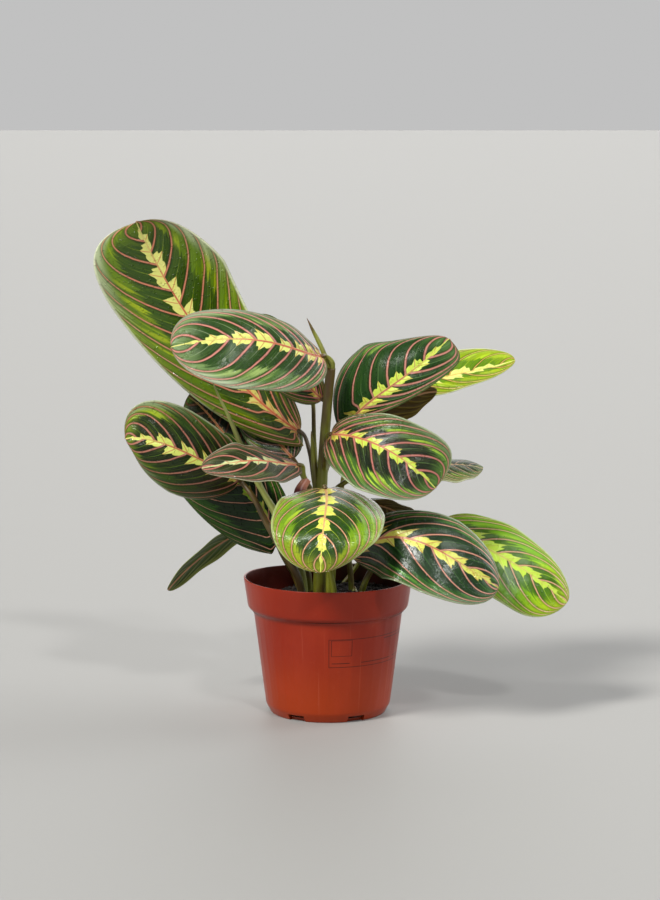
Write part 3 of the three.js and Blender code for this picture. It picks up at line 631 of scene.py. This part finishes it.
    # The relief: veins, midrib, fine lines, skin and water drops.
    skin = g.noise_at(distance * 0.5, share * (spacing * 2.6), seed, 3, 0.65)
    drops = g.noise_at(distance * 0.42, share * (spacing * 3.4), seed + 4, 1)
    height = vein * 0.7 + rib * 0.4 + (fine * 0.25 + skin * 0.35) + g.smooth(0.6, 0.68, drops) * 1.1
    bump = g.bump(height, 0.0006, 0.85)
    return g.finish(Base_Color=colour, Roughness=0.44 + (streak - 0.5) * 0.16, Normal=bump,
                    Specular_IOR_Level=0.12, Coat_Weight=look["wet"], Coat_Roughness=0.1, Coat_Normal=bump)


def leaf_under(name, tone, seed):
    """The under side: tone holds two colours of its clouds, the margin's and the veins'."""
    g = Graph(name)
    _, _, distance, number, density, out = leaf_places(g)
    to_vein = to_main_vein(g, number, density)
    cloud = g.noise_at(number * 2, out * 3, seed, 3)
    colour = g.blend(tone[0], tone[1], g.smooth(0.35, 0.65, cloud))
    colour = g.blend(colour, tone[2], g.smooth(0.7, 1, out))
    vein = 1 - g.smooth(0.35, 0.9, to_vein)
    colour = g.blend(colour, tone[3], vein * 0.7)
    colour = g.blend(colour, 0xb98a66, 1 - g.smooth(0.8, 1.6, distance))
    return g.finish(Base_Color=colour, Roughness=0.48, Specular_IOR_Level=0.3,
                    Normal=g.bump(vein + cloud * 0.3, 0.0004, 0.8))


UNDER_BROWN = (0x4e4008, 0x422e0c, 0x6c5c18, 0x7c6a20)
UNDER_GREEN = (0x3c5a0c, 0x2c480a, 0x8a9c44, 0x747c3c)
GREEN_BELOW = ("leaf_drooping_left", "leaf_right_far", "leaf_outer_right")
SEED_STEP = 3.7  # between the noise of one leaf and the next


def leaf_length(leaf):
    points = midrib_at(leaf["midrib"], np.linspace(0, 1, 60))
    return float(np.linalg.norm(np.diff(points, axis=0), axis=1).sum())


def build_leaves():
    brown = leaf_under("leaf underside", UNDER_BROWN, 3.0)
    green = leaf_under("green leaf underside", UNDER_GREEN, 5.0)
    for index, (name, leaf) in enumerate(LEAVES.items()):
        look = {**COMMON, **LOOKS[leaf["look"]], **TINTS.get(name, {})}
        spacing = leaf_length(leaf) / leaf["veins"][0]
        upper = leaf_upper(name + " upper", look, spacing, SEED_STEP * index)
        lower = green if name in GREEN_BELOW else brown
        add_piece(blade_mesh(name + "_blade", leaf), [upper, lower], name)


# ---------------------------------------------------------------- stalks
# Each stalk: the points on its way up, its radii in mm at its foot and its top, and the leaf that it carries.
# A stalk with no leaf is the stem, a sheath, a rolled new leaf or a cut stub. A pointed one ends in a point.
PALE, OLIVE, BROWN, RED = 0.25, 0.5, 0.75, 1.0  # tones of a stalk


def grow(*way, **rest):
    return dict(way=way, **rest)


SHOOTS = {
    "shoot_main": [
        grow((-7, 2, 71), (-6, 3, 101), (-5, 4, 137), (-4, 5, 170), (-2, 4, 202), (0, 2, 226),
             (2, -1, 247), radii=(4.4, 3.4)),
        grow((2, -1, 243), (-4, 0, 260), (-11, 2, 274), (-15, 3, 282), radii=(1.9, 1.5), pointed=True),
        grow((-6, 4, 140), (-9, 7, 166), (-11, 7, 192), (-12, 7, 201), radii=(2.6, 1.8), pointed=True),
        grow((-6, 4, 140), (-10, 12, 165), (-13, 16, 184), leaf="leaf_crown_left", tone=BROWN),
        grow((1, 1, 238), (3, -3, 251), leaf="leaf_crown_front"),
        grow((-3, 5, 190), (-1, 9, 212), leaf="leaf_crown_back"),
        grow((-5, 3, 145), (-12, -3, 160), (-17, -8, 171), leaf="leaf_folded_left"),
        grow((-15, -6, 168), (-19, -9, 162), (-20, -10, 158), radii=(3.2, 4.4), tone=RED),
        grow((-6, 4, 136), (-12, 10, 156), (-19, 15, 169), leaf="leaf_behind_folded"),
        grow((-3, 4, 172), (-2, -5, 188), leaf="leaf_right_front"),
        grow((-3, 4, 182), (3, 9, 197), leaf="leaf_right_upper"),
        grow((-4, 5, 166), (4, 24, 186), (10, 37, 198), leaf="leaf_right_far"),
        grow((-3, 5, 174), (4, 13, 192), (9, 16, 201), leaf="leaf_right_underside"),
        grow((-5, 5, 146), (10, 12, 162), (34, 14, 170), leaf="leaf_right_small"),
    ],
    "shoot_left": [
        grow((-18, -4, 71), (-21, -6, 96), (-34, -4, 119), (-44, 0, 136), (-54, 4, 155), radii=(2.9, 1.8),
             leaf="leaf_outer_left", tone=BROWN),
        grow((-17, 10, 71), (-20, 10, 98), (-28, 7, 122), (-38, 5, 143), (-50, 5, 163), (-56, 6, 171),
             radii=(3.8, 3.4), pointed=True, tone=PALE),
        grow((-45, 5, 155), (-57, 9, 178), (-64, 10, 195), (-71, 8, 212), (-79, 7, 229), (-84, 6, 242),
             radii=(2.2, 1.3), pointed=True, tone=PALE),
        grow((-18, 4, 71), (-19, 6, 86), (-24, 10, 101), radii=(2.1, 1.6), leaf="leaf_low_left"),
        grow((-18, 0, 71), (-18, 3, 84), (-18, 4, 90), radii=(3.6, 3.0), pointed=True),
    ],
    "shoot_left_back": [
        grow((-14, 20, 71), (-16, 22, 99), (-29, 30, 133), (-48, 33, 160), radii=(3.4, 1.8),
             leaf="leaf_inner_left"),
        grow((-18, 24, 71), (-23, 32, 88), (-34, 44, 106), radii=(2.1, 1.5), leaf="leaf_drooping_left"),
        grow((-16, 22, 71), (-17, 23, 84), (-17, 24, 90), radii=(3.6, 3.0), pointed=True),
    ],
    "shoot_front": [
        grow((0, -12, 71), (1, -10, 100), (2, -5, 131), (2, -5, 154), radii=(2.4, 1.6),
             leaf="leaf_front"),
        grow((4, -16, 71), (4, -17, 90), (2, -20, 108), radii=(2.3, 1.6), leaf="leaf_low_right"),
        grow((2, -14, 71), (3, -14, 84), (3, -14, 90), radii=(3.2, 2.8), pointed=True),
    ],
    "shoot_right": [
        grow((21, -4, 71), (24, -4, 87), (33, -1, 105), (58, 4, 126), radii=(2.3, 1.6),
             leaf="leaf_outer_right"),
        grow((17, 4, 71), (16, 6, 100), (11, 4, 135), radii=(2.1, 1.5), leaf="leaf_low_right_back"),
        grow((19, 0, 71), (19, 1, 84), (19, 2, 90), radii=(3.2, 2.8), pointed=True),
    ],
    "shoot_back": [
        grow((2, 30, 71), (6, 38, 120), (12, 48, 170), leaf="leaf_back_right_high"),
        grow((-2, 28, 71), (-6, 30, 130), (-10, 34, 190), leaf="leaf_back_left_high"),
        grow((-4, 31, 71), (-10, 40, 100), (-18, 48, 118), leaf="leaf_back_left_low"),
        grow((4, 32, 71), (9, 36, 82), (17, 40, 92), leaf="leaf_back_right_low"),
        grow((0, 33, 71), (0, 37, 92), leaf="leaf_back_low"),
        grow((0, 30, 71), (0, 31, 86), (0, 32, 92), radii=(4.7, 3.6), pointed=True),
    ],
}
PETIOLE_RADII = (1.9, 1.4)
APPROACH = 4  # mm over which a stalk turns along its leaf
ENTRY = 1.5  # mm that its end runs into the leaf
STALK_SIDES = 20
STALK_RINGS = 16  # between two points of its way


def centripetal(points, per_span):
    """Points of the centripetal Catmull-Rom curve that the CAD stalks follow."""
    points = [np.array(p, float) for p in points]
    padded = [2 * points[0] - points[1]] + points + [2 * points[-1] - points[-2]]
    curve = []
    for index in range(len(points) - 1):
        near = padded[index:index + 4]
        knots = [0]
        for before, after in zip(near, near[1:]):
            knots.append(knots[-1] + max(np.linalg.norm(after - before), 1e-4) ** 0.5)
        last = index == len(points) - 2
        for step in range(per_span + (1 if last else 0)):
            t = mix(knots[1], knots[2], step / per_span)
            level = near
            for reach in (1, 2):
                level = [mix(a, b, (t - knots[i]) / (knots[i + reach] - knots[i]))
                         for i, (a, b) in enumerate(zip(level, level[1:]))]
            curve.append(mix(*level, (t - knots[1]) / (knots[2] - knots[1])))
    return np.array(curve)


def tube_rings(centres, radii):
    """Rings round a line of centres, turned as little as possible from one to the next."""
    ways = unit(np.gradient(centres, axis=0))
    side = unit(np.cross(ways[0], np.array([0.0, 1.0, 0.02])))
    angles = turns(STALK_SIDES)
    rings = []
    for centre, way, radius in zip(centres, ways, radii):
        side = unit(side - way * (side @ way))
        other = np.cross(way, side)
        rings.append(centre + radius * (np.cos(angles)[:, None] * side + np.sin(angles)[:, None] * other))
    return np.array(rings)


def stalk_rings(stalk):
    points = list(stalk["way"])
    if "leaf" in stalk:
        midrib = LEAVES[stalk["leaf"]]["midrib"]
        base = midrib_at(midrib, np.array(0.0))
        way = midrib_way(midrib, np.array(0.0))
        points += [tuple(base - way * APPROACH), tuple(base + way * ENTRY)]
    centres = centripetal(points, STALK_RINGS)
    share = np.linspace(0, 1, len(centres))
    foot, top = stalk.get("radii", PETIOLE_RADII)
    radii = mix(foot, top, smooth(0, 0.9, share))
    if stalk.get("pointed"):
        radii = radii * np.minimum(1, ((1 - share) / 0.55) ** 0.7 + 0.03)
    if "leaf" in stalk:  # the joint below the leaf is a little thicker, and the end in the leaf is thinner
        radii = radii * (1 + 0.22 * np.exp(-((share - 0.9) / 0.06) ** 2))
        radii = radii * (1 - 0.35 * smooth(0.965, 1, share))
    return tube_rings(centres, radii), share


def shoot_mesh(name, stalks):
    points, faces, places, tones = [], [], [], []
    for stalk in stalks:
        rings, share = stalk_rings(stalk)
        start = len(points)
        count, sides = rings.shape[:2]
        points.extend(rings.reshape(-1, 3))
        faces.extend(ring_faces(start, count, sides))
        faces.append(tuple(start + side for side in reversed(range(sides))))
        faces.append(tuple(start + (count - 1) * sides + side for side in range(sides)))
        places.extend((share[ring], side / sides) for ring in range(count) for side in range(sides))
        tones.extend([(stalk.get("tone", OLIVE), 0)] * (count * sides))
    mesh = new_mesh(name, points, faces)
    corner = np.empty(len(mesh.loops), np.int32)
    mesh.loops.foreach_get("vertex_index", corner)
    add_uv(mesh, "StalkPlace", np.array(places, float)[corner])
    add_uv(mesh, "StalkTone", np.array(tones, float)[corner])
    mesh.polygons.foreach_set("use_smooth", np.ones(len(faces), bool))
    mesh.update()
    return mesh


def stalk_material():
    g = Graph("stalk")
    share, turn = g.uv("StalkPlace")
    tone = g.uv("StalkTone")[0]
    x, y, z = g.split(g.place())
    cloud = g.noise_at(x * 90, y * 90, z * 26, 3)
    lines = g.noise_at(g.math("SINE", turn * (2 * math.pi)) * 6, share * 1.5, tone * 30, 2)
    olive = g.blend(0x74781c, 0x544412, g.smooth(0.42, 0.62, cloud))
    olive = g.blend(olive, 0x56381a, g.smooth(0.72, 0.95, share) * 0.8)
    pale = g.blend(0x888e46, 0x6c7038, g.smooth(0.4, 0.65, cloud))
    brown = g.blend(0x54421a, 0x382a10, g.smooth(0.4, 0.65, cloud))
    red = g.blend(0xb87860, 0x5a1a1e, g.smooth(0.2, 0.75, share))
    colour = g.blend(pale, olive, g.smooth(0.3, 0.45, tone))
    colour = g.blend(colour, brown, g.smooth(0.55, 0.7, tone))
    colour = g.blend(colour, red, g.smooth(0.8, 0.95, tone))
    colour = g.blend(colour, 0xb8b878, g.smooth(0.55, 0.75, lines) * 0.25)
    return g.finish(Base_Color=colour, Roughness=0.38, Normal=g.bump(lines + cloud * 0.6, 0.0003, 0.7))


def build_shoots():
    material = stalk_material()
    for name, stalks in SHOOTS.items():
        add_piece(shoot_mesh(name + "_stalks", stalks), [material], name)


# ---------------------------------------------------------------- pot, in mm
POT_HEIGHT = 97
RIM_RADIUS = 60
RIM_BAND = 21
STEP_HEIGHT = 3
RIM_TAPER = 3
BODY_TOP_RADIUS = 53
BODY_FOOT_RADIUS = 44.5
FOOT_HEIGHT = 6.5
FOOT_RADIUS = 41
WALL = 1.4
FLOOR = 2
POT_SIDES = 216
FLUTES = 36  # shallow ribs down the body
SMOOTH_BELOW = 32  # degrees between two faces of a smooth edge
NOTCHES = 6
NOTCH_SIZE = (13, 12, 9)  # across, through the wall, and twice the height over the ground
NOTCH_TURN = math.radians(-62)
RIM_CORNER = math.radians(252)  # where the rim is bent a little
LABEL_TURN = (0.5, 87)  # degrees from the front towards +X
LABEL_Z = (41.3, 61.8)
LABEL_RADIUS = 50  # of the pot at the label
LABEL_BARS = (  # low, high, and the first and last of their degrees
    (59.2, 59.7, 50, 80), (44.0, 44.5, 3, 18), (44.0, 44.5, 28, 62), (44.0, 44.5, 66, 80),
    (49.5, 61.1, 2.5, 2.9), (49.5, 61.1, 19.1, 19.5), (49.4, 49.7, 2.5, 19.5), (60.8, 61.1, 2.5, 19.5))


def rounded(profile, steps=4):
    """The profile with its corners rounded: each (radius, height, size of the rounding)."""
    points = []
    for index, (radius, height, size) in enumerate(profile):
        corner = np.array([radius, height], float)
        if size == 0:
            points.append(corner)
            continue
        before = np.array(profile[index - 1][:2], float)
        after = np.array(profile[index + 1][:2], float)
        start = corner + unit(before - corner) * size
        end = corner + unit(after - corner) * size
        for step in range(steps + 1):
            t = step / steps
            points.append((1 - t) ** 2 * start + 2 * t * (1 - t) * corner + t ** 2 * end)
    return np.array(points)


def divided(profile, longest=4.0):
    points = [profile[0]]
    for before, after in zip(profile[:-1], profile[1:]):
        parts = max(1, math.ceil(np.linalg.norm(after - before) / longest))
        for part in range(1, parts + 1):
            points.append(mix(before, after, part / parts))
    return np.array(points)


def lathe_mesh(name, profile):
    """A profile from the axis back to the axis, turned round Z and warped as the pot is."""
    rows, sides = len(profile) - 2, POT_SIDES
    turn = np.ones((rows, 1)) * turns(sides)
    radius, height = (profile[1:-1, column][:, None] * np.ones(sides) for column in (0, 1))
    radius, height = pot_warp(radius, height, turn)
    grid = np.stack([radius * np.cos(turn), radius * np.sin(turn), height], -1)
    points = grid.reshape(-1, 3).tolist() + [(0, 0, profile[0][1]), (0, 0, profile[-1][1])]
    first, last = rows * sides, rows * sides + 1
    faces = ring_faces(0, rows, sides)
    for side in range(sides):
        following = (side + 1) % sides
        faces.append((first, following, side))
        faces.append((last, (rows - 1) * sides + side, (rows - 1) * sides + following))
    return new_mesh(name, points, faces)


def pot_warp(radius, height, turn):
    """The thin rim is a little out of round and uneven, and shallow flutes run down the body."""
    top = smooth(40, POT_HEIGHT, height)
    wide = smooth(44, 58, radius)
    radius = radius + 0.5 * top * np.sin(2 * turn + 0.6) + 0.25 * top * np.sin(5 * turn)
    height = height + wide * top * (0.7 * np.sin(2 * turn + 1.1) + 0.35 * np.sin(3 * turn))
    radius = radius + 0.7 * smooth(74, 90, height) * np.exp(-((turn - RIM_CORNER) / 0.11) ** 2)
    body = smooth(10, 16, height) * (1 - smooth(66, 71, height))
    return radius + 0.12 * body * np.maximum(np.cos(turn * FLUTES), 0) ** 6, height


def cut_notches(mesh, name):
    """The pot with its drain notches cut out of the foot."""
    pot = new_object("pot_blank", mesh)
    cutter_mesh = bpy.data.meshes.new("notches")
    shape = bmesh.new()
    for notch in range(NOTCHES):
        made = bmesh.ops.create_cube(shape, size=1)["verts"]
        bmesh.ops.scale(shape, vec=[size * MM for size in NOTCH_SIZE], verts=made)
        bmesh.ops.translate(shape, vec=(0, -(FOOT_RADIUS + 3) * MM, 0), verts=made)
        turn = 2 * math.pi * (notch + 0.5) / NOTCHES + NOTCH_TURN
        for vertex in made:
            x, y = vertex.co.x, vertex.co.y
            vertex.co.x = x * math.cos(turn) - y * math.sin(turn)
            vertex.co.y = x * math.sin(turn) + y * math.cos(turn)
    shape.to_mesh(cutter_mesh)
    shape.free()
    cutter = new_object("notches", cutter_mesh)
    cut = pot.modifiers.new("notches", "BOOLEAN")
    cut.object = cutter
    cut.operation = "DIFFERENCE"
    cut.solver = "EXACT"
    result = bpy.data.meshes.new_from_object(pot.evaluated_get(bpy.context.evaluated_depsgraph_get()))
    bpy.data.objects.remove(pot)
    bpy.data.objects.remove(cutter)
    bpy.data.meshes.remove(cutter_mesh)
    bpy.data.meshes.remove(mesh)
    result.name = name
    return result


def smooth_by_angle(mesh, degrees):
    mesh.polygons.foreach_set("use_smooth", np.ones(len(mesh.polygons), bool))
    shape = bmesh.new()
    shape.from_mesh(mesh)
    for edge in shape.edges:
        if len(edge.link_faces) == 2:
            edge.smooth = edge.calc_face_angle(0) < math.radians(degrees)
    shape.to_mesh(mesh)
    shape.free()
    mesh.update()


def middle_and_half(low, high):
    return (low + high) / 2, (high - low) / 2


def label_ink(g, degrees, height_mm):
    """A plain outlined panel with bars, where the photographed pot has its printed label."""
    middle, half = middle_and_half(*LABEL_TURN)
    across_mm = (abs((degrees - middle) / half) - 1) * (math.radians(2 * half) / 2 * LABEL_RADIUS)
    middle, half = middle_and_half(*LABEL_Z)
    up_mm = abs(height_mm - middle) - half
    ink = 1 - g.smooth(0.14, 0.26, abs(g.most(across_mm, up_mm) + 0.2))
    for low, high, first, last in LABEL_BARS:
        sides = []
        for place, ends in ((degrees, (first, last)), (height_mm, (low, high))):
            middle, half = middle_and_half(*ends)
            sides.append(1 - g.smooth(-0.1, 0.1, abs(place - middle) - half))
        ink = g.most(ink, sides[0] * sides[1])
    return ink


def pot_material():
    g = Graph("pot plastic")
    place = g.place()
    x, y, height = g.split(place)
    cloud = g.noise(place, 30, 4)
    grain = g.noise(place, 900, 2)
    dust = g.noise(place, 240, 4, 0.65)
    colour = g.blend(0x922e02, 0x862108, g.smooth(0.01, 0.06, height))
    colour = g.blend(colour, 0x9a3010, g.smooth(0.45, 0.7, cloud) * 0.45)
    degrees = g.math("ARCTAN2", x, y * -1) * (180 / math.pi)
    # Painted highlight: pale vertical streaks of glare.
    glare = g.smooth(0.66, 0.76, g.noise_at(degrees * 0.3, height * 9, 0, 1))
    colour = g.blend(colour, 0xb05a44, glare * 0.3)
    colour = g.blend(colour, 0xa8583e, g.smooth(0.62, 0.8, dust) * 0.2)

    # Painted shade inside the pot: where the surface looks towards the pot's axis it is darkened, darkest on
    # the right, toward +X.
    nx, ny, _ = g.split(g.value("NewGeometry", {}, "Normal"))
    outward = (x * nx + y * ny) / g.math("SQRT", x * x + y * y)
    inner_wall_shade = g.blend(0x541a10, 0x1a0806, g.smooth(-0.02, 0.03, x))
    colour = g.blend(colour, inner_wall_shade, (1 - g.smooth(-0.6, -0.2, outward)) * 0.95)

    front = g.math("LESS_THAN", y, 0.035)
    worn = g.smooth(0.2, 0.5, g.noise(place, 700, 3))
    ink = label_ink(g, degrees, height * 1000) * front * (0.7 + worn * 0.3)
    colour = g.blend(colour, 0x300c04, ink)
    rough = 0.24 + (cloud * 0.12 + g.smooth(0.6, 0.8, dust) * 0.15)
    ribs = g.noise_at(x * 55, y * 55, height * 7, 2)
    relief = g.bump(grain * 0.03 + (cloud * 0.3 + ribs * 1.2), 0.001, 0.6)
    return g.finish(Base_Color=colour, Roughness=rough, Normal=relief, Specular_IOR_Level=0.3)


def build_pot():
    band_foot = POT_HEIGHT - RIM_BAND
    step_foot = band_foot - STEP_HEIGHT
    profile = rounded([
        (0, 0, 0),
        (FOOT_RADIUS, 0, 0.8),
        (BODY_FOOT_RADIUS, FOOT_HEIGHT, 1.5),
        (BODY_TOP_RADIUS, step_foot, 2.0),
        (RIM_RADIUS - RIM_TAPER, band_foot, 2.0),
        (RIM_RADIUS, POT_HEIGHT, 0.7),
        (RIM_RADIUS - WALL, POT_HEIGHT, 0.6),
        (RIM_RADIUS - RIM_TAPER - WALL, band_foot + 1.2, 1.0),
        (BODY_TOP_RADIUS - WALL, step_foot + 1.2, 0.8),
        (BODY_FOOT_RADIUS - WALL, FOOT_HEIGHT + 0.6, 1.2),
        (FOOT_RADIUS - WALL, FLOOR, 0.8),
        (0, FLOOR, 0),
    ])
    mesh = cut_notches(lathe_mesh("pot_lathed", divided(profile)), "pot_shell")
    smooth_by_angle(mesh, SMOOTH_BELOW)
    add_piece(mesh, [pot_material()], "pot")


# ---------------------------------------------------------------- soil, in mm
SOIL_TOP = 80
SOIL_RADIUS = 54.6
SOIL_RINGS = 44
SOIL_SIDES = 150
SOIL_SKIRT = ((1, 6), (0.9, 8))  # shares of the radius and depths below the top, where the piece ends
CRUMBS = 2600
SOIL_SEED = 11


def soil_height(x, y):
    """The soil's surface: a low dome with lumps, heaped a little to the right."""
    away = np.hypot(x, y) / SOIL_RADIUS
    lumps = 0.9 * np.sin(0.31 * x + 1.0) * np.sin(0.27 * y + 2.0) + 0.6 * np.sin(0.8 * x + 0.5 * y)
    lumps += 0.4 * np.sin(1.7 * x - 1.1 * y) + 0.3 * np.sin(2.3 * y + 0.9 * x)
    return SOIL_TOP + 1.5 - 2.5 * away ** 2 + lumps + 4.0 * smooth(-25, 40, x + 0.5 * y)


def soil_mesh(name):
    """The soil's lumpy surface, closed below, with crumbs of peat on it."""
    draw = np.random.default_rng(SOIL_SEED)
    rings, sides = SOIL_RINGS, SOIL_SIDES
    angles = turns(sides)
    points = [np.array([[0, 0, soil_height(0, 0)]])]
    for ring in range(1, rings + 1):
        x, y = (SOIL_RADIUS * ring / rings * turned for turned in (np.cos(angles), np.sin(angles)))
        points.append(np.stack([x, y, soil_height(x, y) + draw.uniform(-0.35, 0.35, sides)], 1))
    for share, depth in SOIL_SKIRT:
        radius = share * SOIL_RADIUS
        points.append(np.stack([radius * np.cos(angles), radius * np.sin(angles),
                                np.full(sides, SOIL_TOP - depth)], 1))
    faces = [(0, 1 + side, 1 + (side + 1) % sides) for side in range(sides)]
    faces += [(a, d, c, b) for a, b, c, d in ring_faces(1, rings + 2, sides)]
    last = 1 + (rings + 1) * sides
    faces.append(tuple(last + side for side in reversed(range(sides))))

    shape = bmesh.new()
    bmesh.ops.create_icosphere(shape, subdivisions=1, radius=1)
    ball = np.array([vertex.co for vertex in shape.verts])
    ball_faces = [[vertex.index for vertex in face.verts] for face in shape.faces]
    shape.free()
    start = last + sides
    for _ in range(CRUMBS):
        angle = draw.uniform(0, 2 * math.pi)
        radius = (SOIL_RADIUS - 2) * math.sqrt(draw.random())
        x, y = radius * math.cos(angle), radius * math.sin(angle)
        size = draw.uniform(0.5, 1.7) if draw.random() < 0.9 else draw.uniform(1.7, 3.0)
        crumb = ball * size * draw.uniform((0.6, 0.6, 0.4), (1.3, 1.3, 0.9))
        crumb = crumb * draw.uniform(0.75, 1.25, (len(ball), 1))
        turn = draw.uniform(0, math.pi)
        spin = [[math.cos(turn), math.sin(turn), 0], [-math.sin(turn), math.cos(turn), 0], [0, 0, 1]]
        points.append(crumb @ np.array(spin) + (x, y, soil_height(x, y) + 0.2 * size))
        faces.extend(tuple(start + index for index in face) for face in ball_faces)
        start += len(ball)
    return new_mesh(name, np.concatenate(points), faces)


def soil_material():
    g = Graph("soil")
    cloud = g.noise(g.place(), 260, 5, 0.6)
    colour = g.blend(0x0e0a08, 0x2e2018, g.smooth(0.4, 0.75, cloud))
    return g.finish(Base_Color=colour, Roughness=0.9, Normal=g.bump(cloud, 0.0006, 0.8))


def build_soil():
    add_piece(soil_mesh("soil_crumbs"), [soil_material()], "soil")


# ---------------------------------------------------------------- stage, light and camera, in m
FLOOR_HALF = 40
FLOOR_COLOUR = 0x989794
SKY_COLOUR = 0xe8e8e8
SKY = {"From Min": 0.12, "From Max": 0.5, "To Min": 0.66, "To Max": 0.26}  # strength by height, bright below
CAMERA_PLACE = (0.0014, -1.8, 0.432)
CAMERA_TILT = 7.71  # degrees down
FOCAL_PIXELS = 2560
PHOTO_HEIGHT = 900  # pixels
SENSOR = 36  # mm


def build_stage():
    mesh = bpy.data.meshes.new("floor")
    shape = bmesh.new()
    signs = ((-1, -1), (1, -1), (1, 1), (-1, 1))
    shape.faces.new([shape.verts.new((FLOOR_HALF * x, FLOOR_HALF * y, 0)) for x, y in signs])
    shape.to_mesh(mesh)
    shape.free()
    mesh.materials.append(Graph("floor").finish(Base_Color=FLOOR_COLOUR, Roughness=0.6))
    new_object("floor", mesh)


def sun_light(name, way, spread, strength, colour=(1, 1, 1)):
    """Soft even light, which shines from the direction way."""
    data = bpy.data.lights.new(name, "SUN")
    data.angle = math.radians(spread)
    data.energy = strength
    data.color = colour
    new_object(name, data).rotation_euler = Vector(way).to_track_quat("Z", "Y").to_euler()


def build_light():
    sun_light("key left", (-0.66, -0.62, 0.9), 15, 3.5, (1, 0.985, 0.96))
    sun_light("glint", (0.3, -0.75, 0.75), 5, 0.9)
    sun_light("back fill", (0.2, 1.0, 0.5), 60, 1.0)
    sun_light("window right", (1.0, 0.35, 0.55), 36, 1.7, (0.96, 0.985, 1))
    g = Graph("studio", bpy.data.worlds)
    up = g.split(g.place("Generated"))[2]
    strength = g.value("MapRange", {"Value": up, **SKY}, interpolation_type="SMOOTHSTEP")
    g.node("OutputWorld", {0: g.value("Background", {0: SKY_COLOUR, 1: strength})})
    bpy.context.scene.world = g.owner
    bpy.context.scene.view_settings.view_transform = "Standard"


def build_camera():
    data = bpy.data.cameras.new("camera")
    data.sensor_fit = "VERTICAL"
    data.sensor_height = SENSOR
    data.lens = SENSOR * FOCAL_PIXELS / PHOTO_HEIGHT
    camera = new_object("camera", data)
    camera.location = CAMERA_PLACE
    camera.rotation_euler = (math.radians(90 - CAMERA_TILT), 0, 0)
    bpy.context.scene.camera = camera


# ---------------------------------------------------------------- the plant
build_pot()
build_soil()
build_shoots()
build_leaves()
build_stage()
build_light()
build_camera()
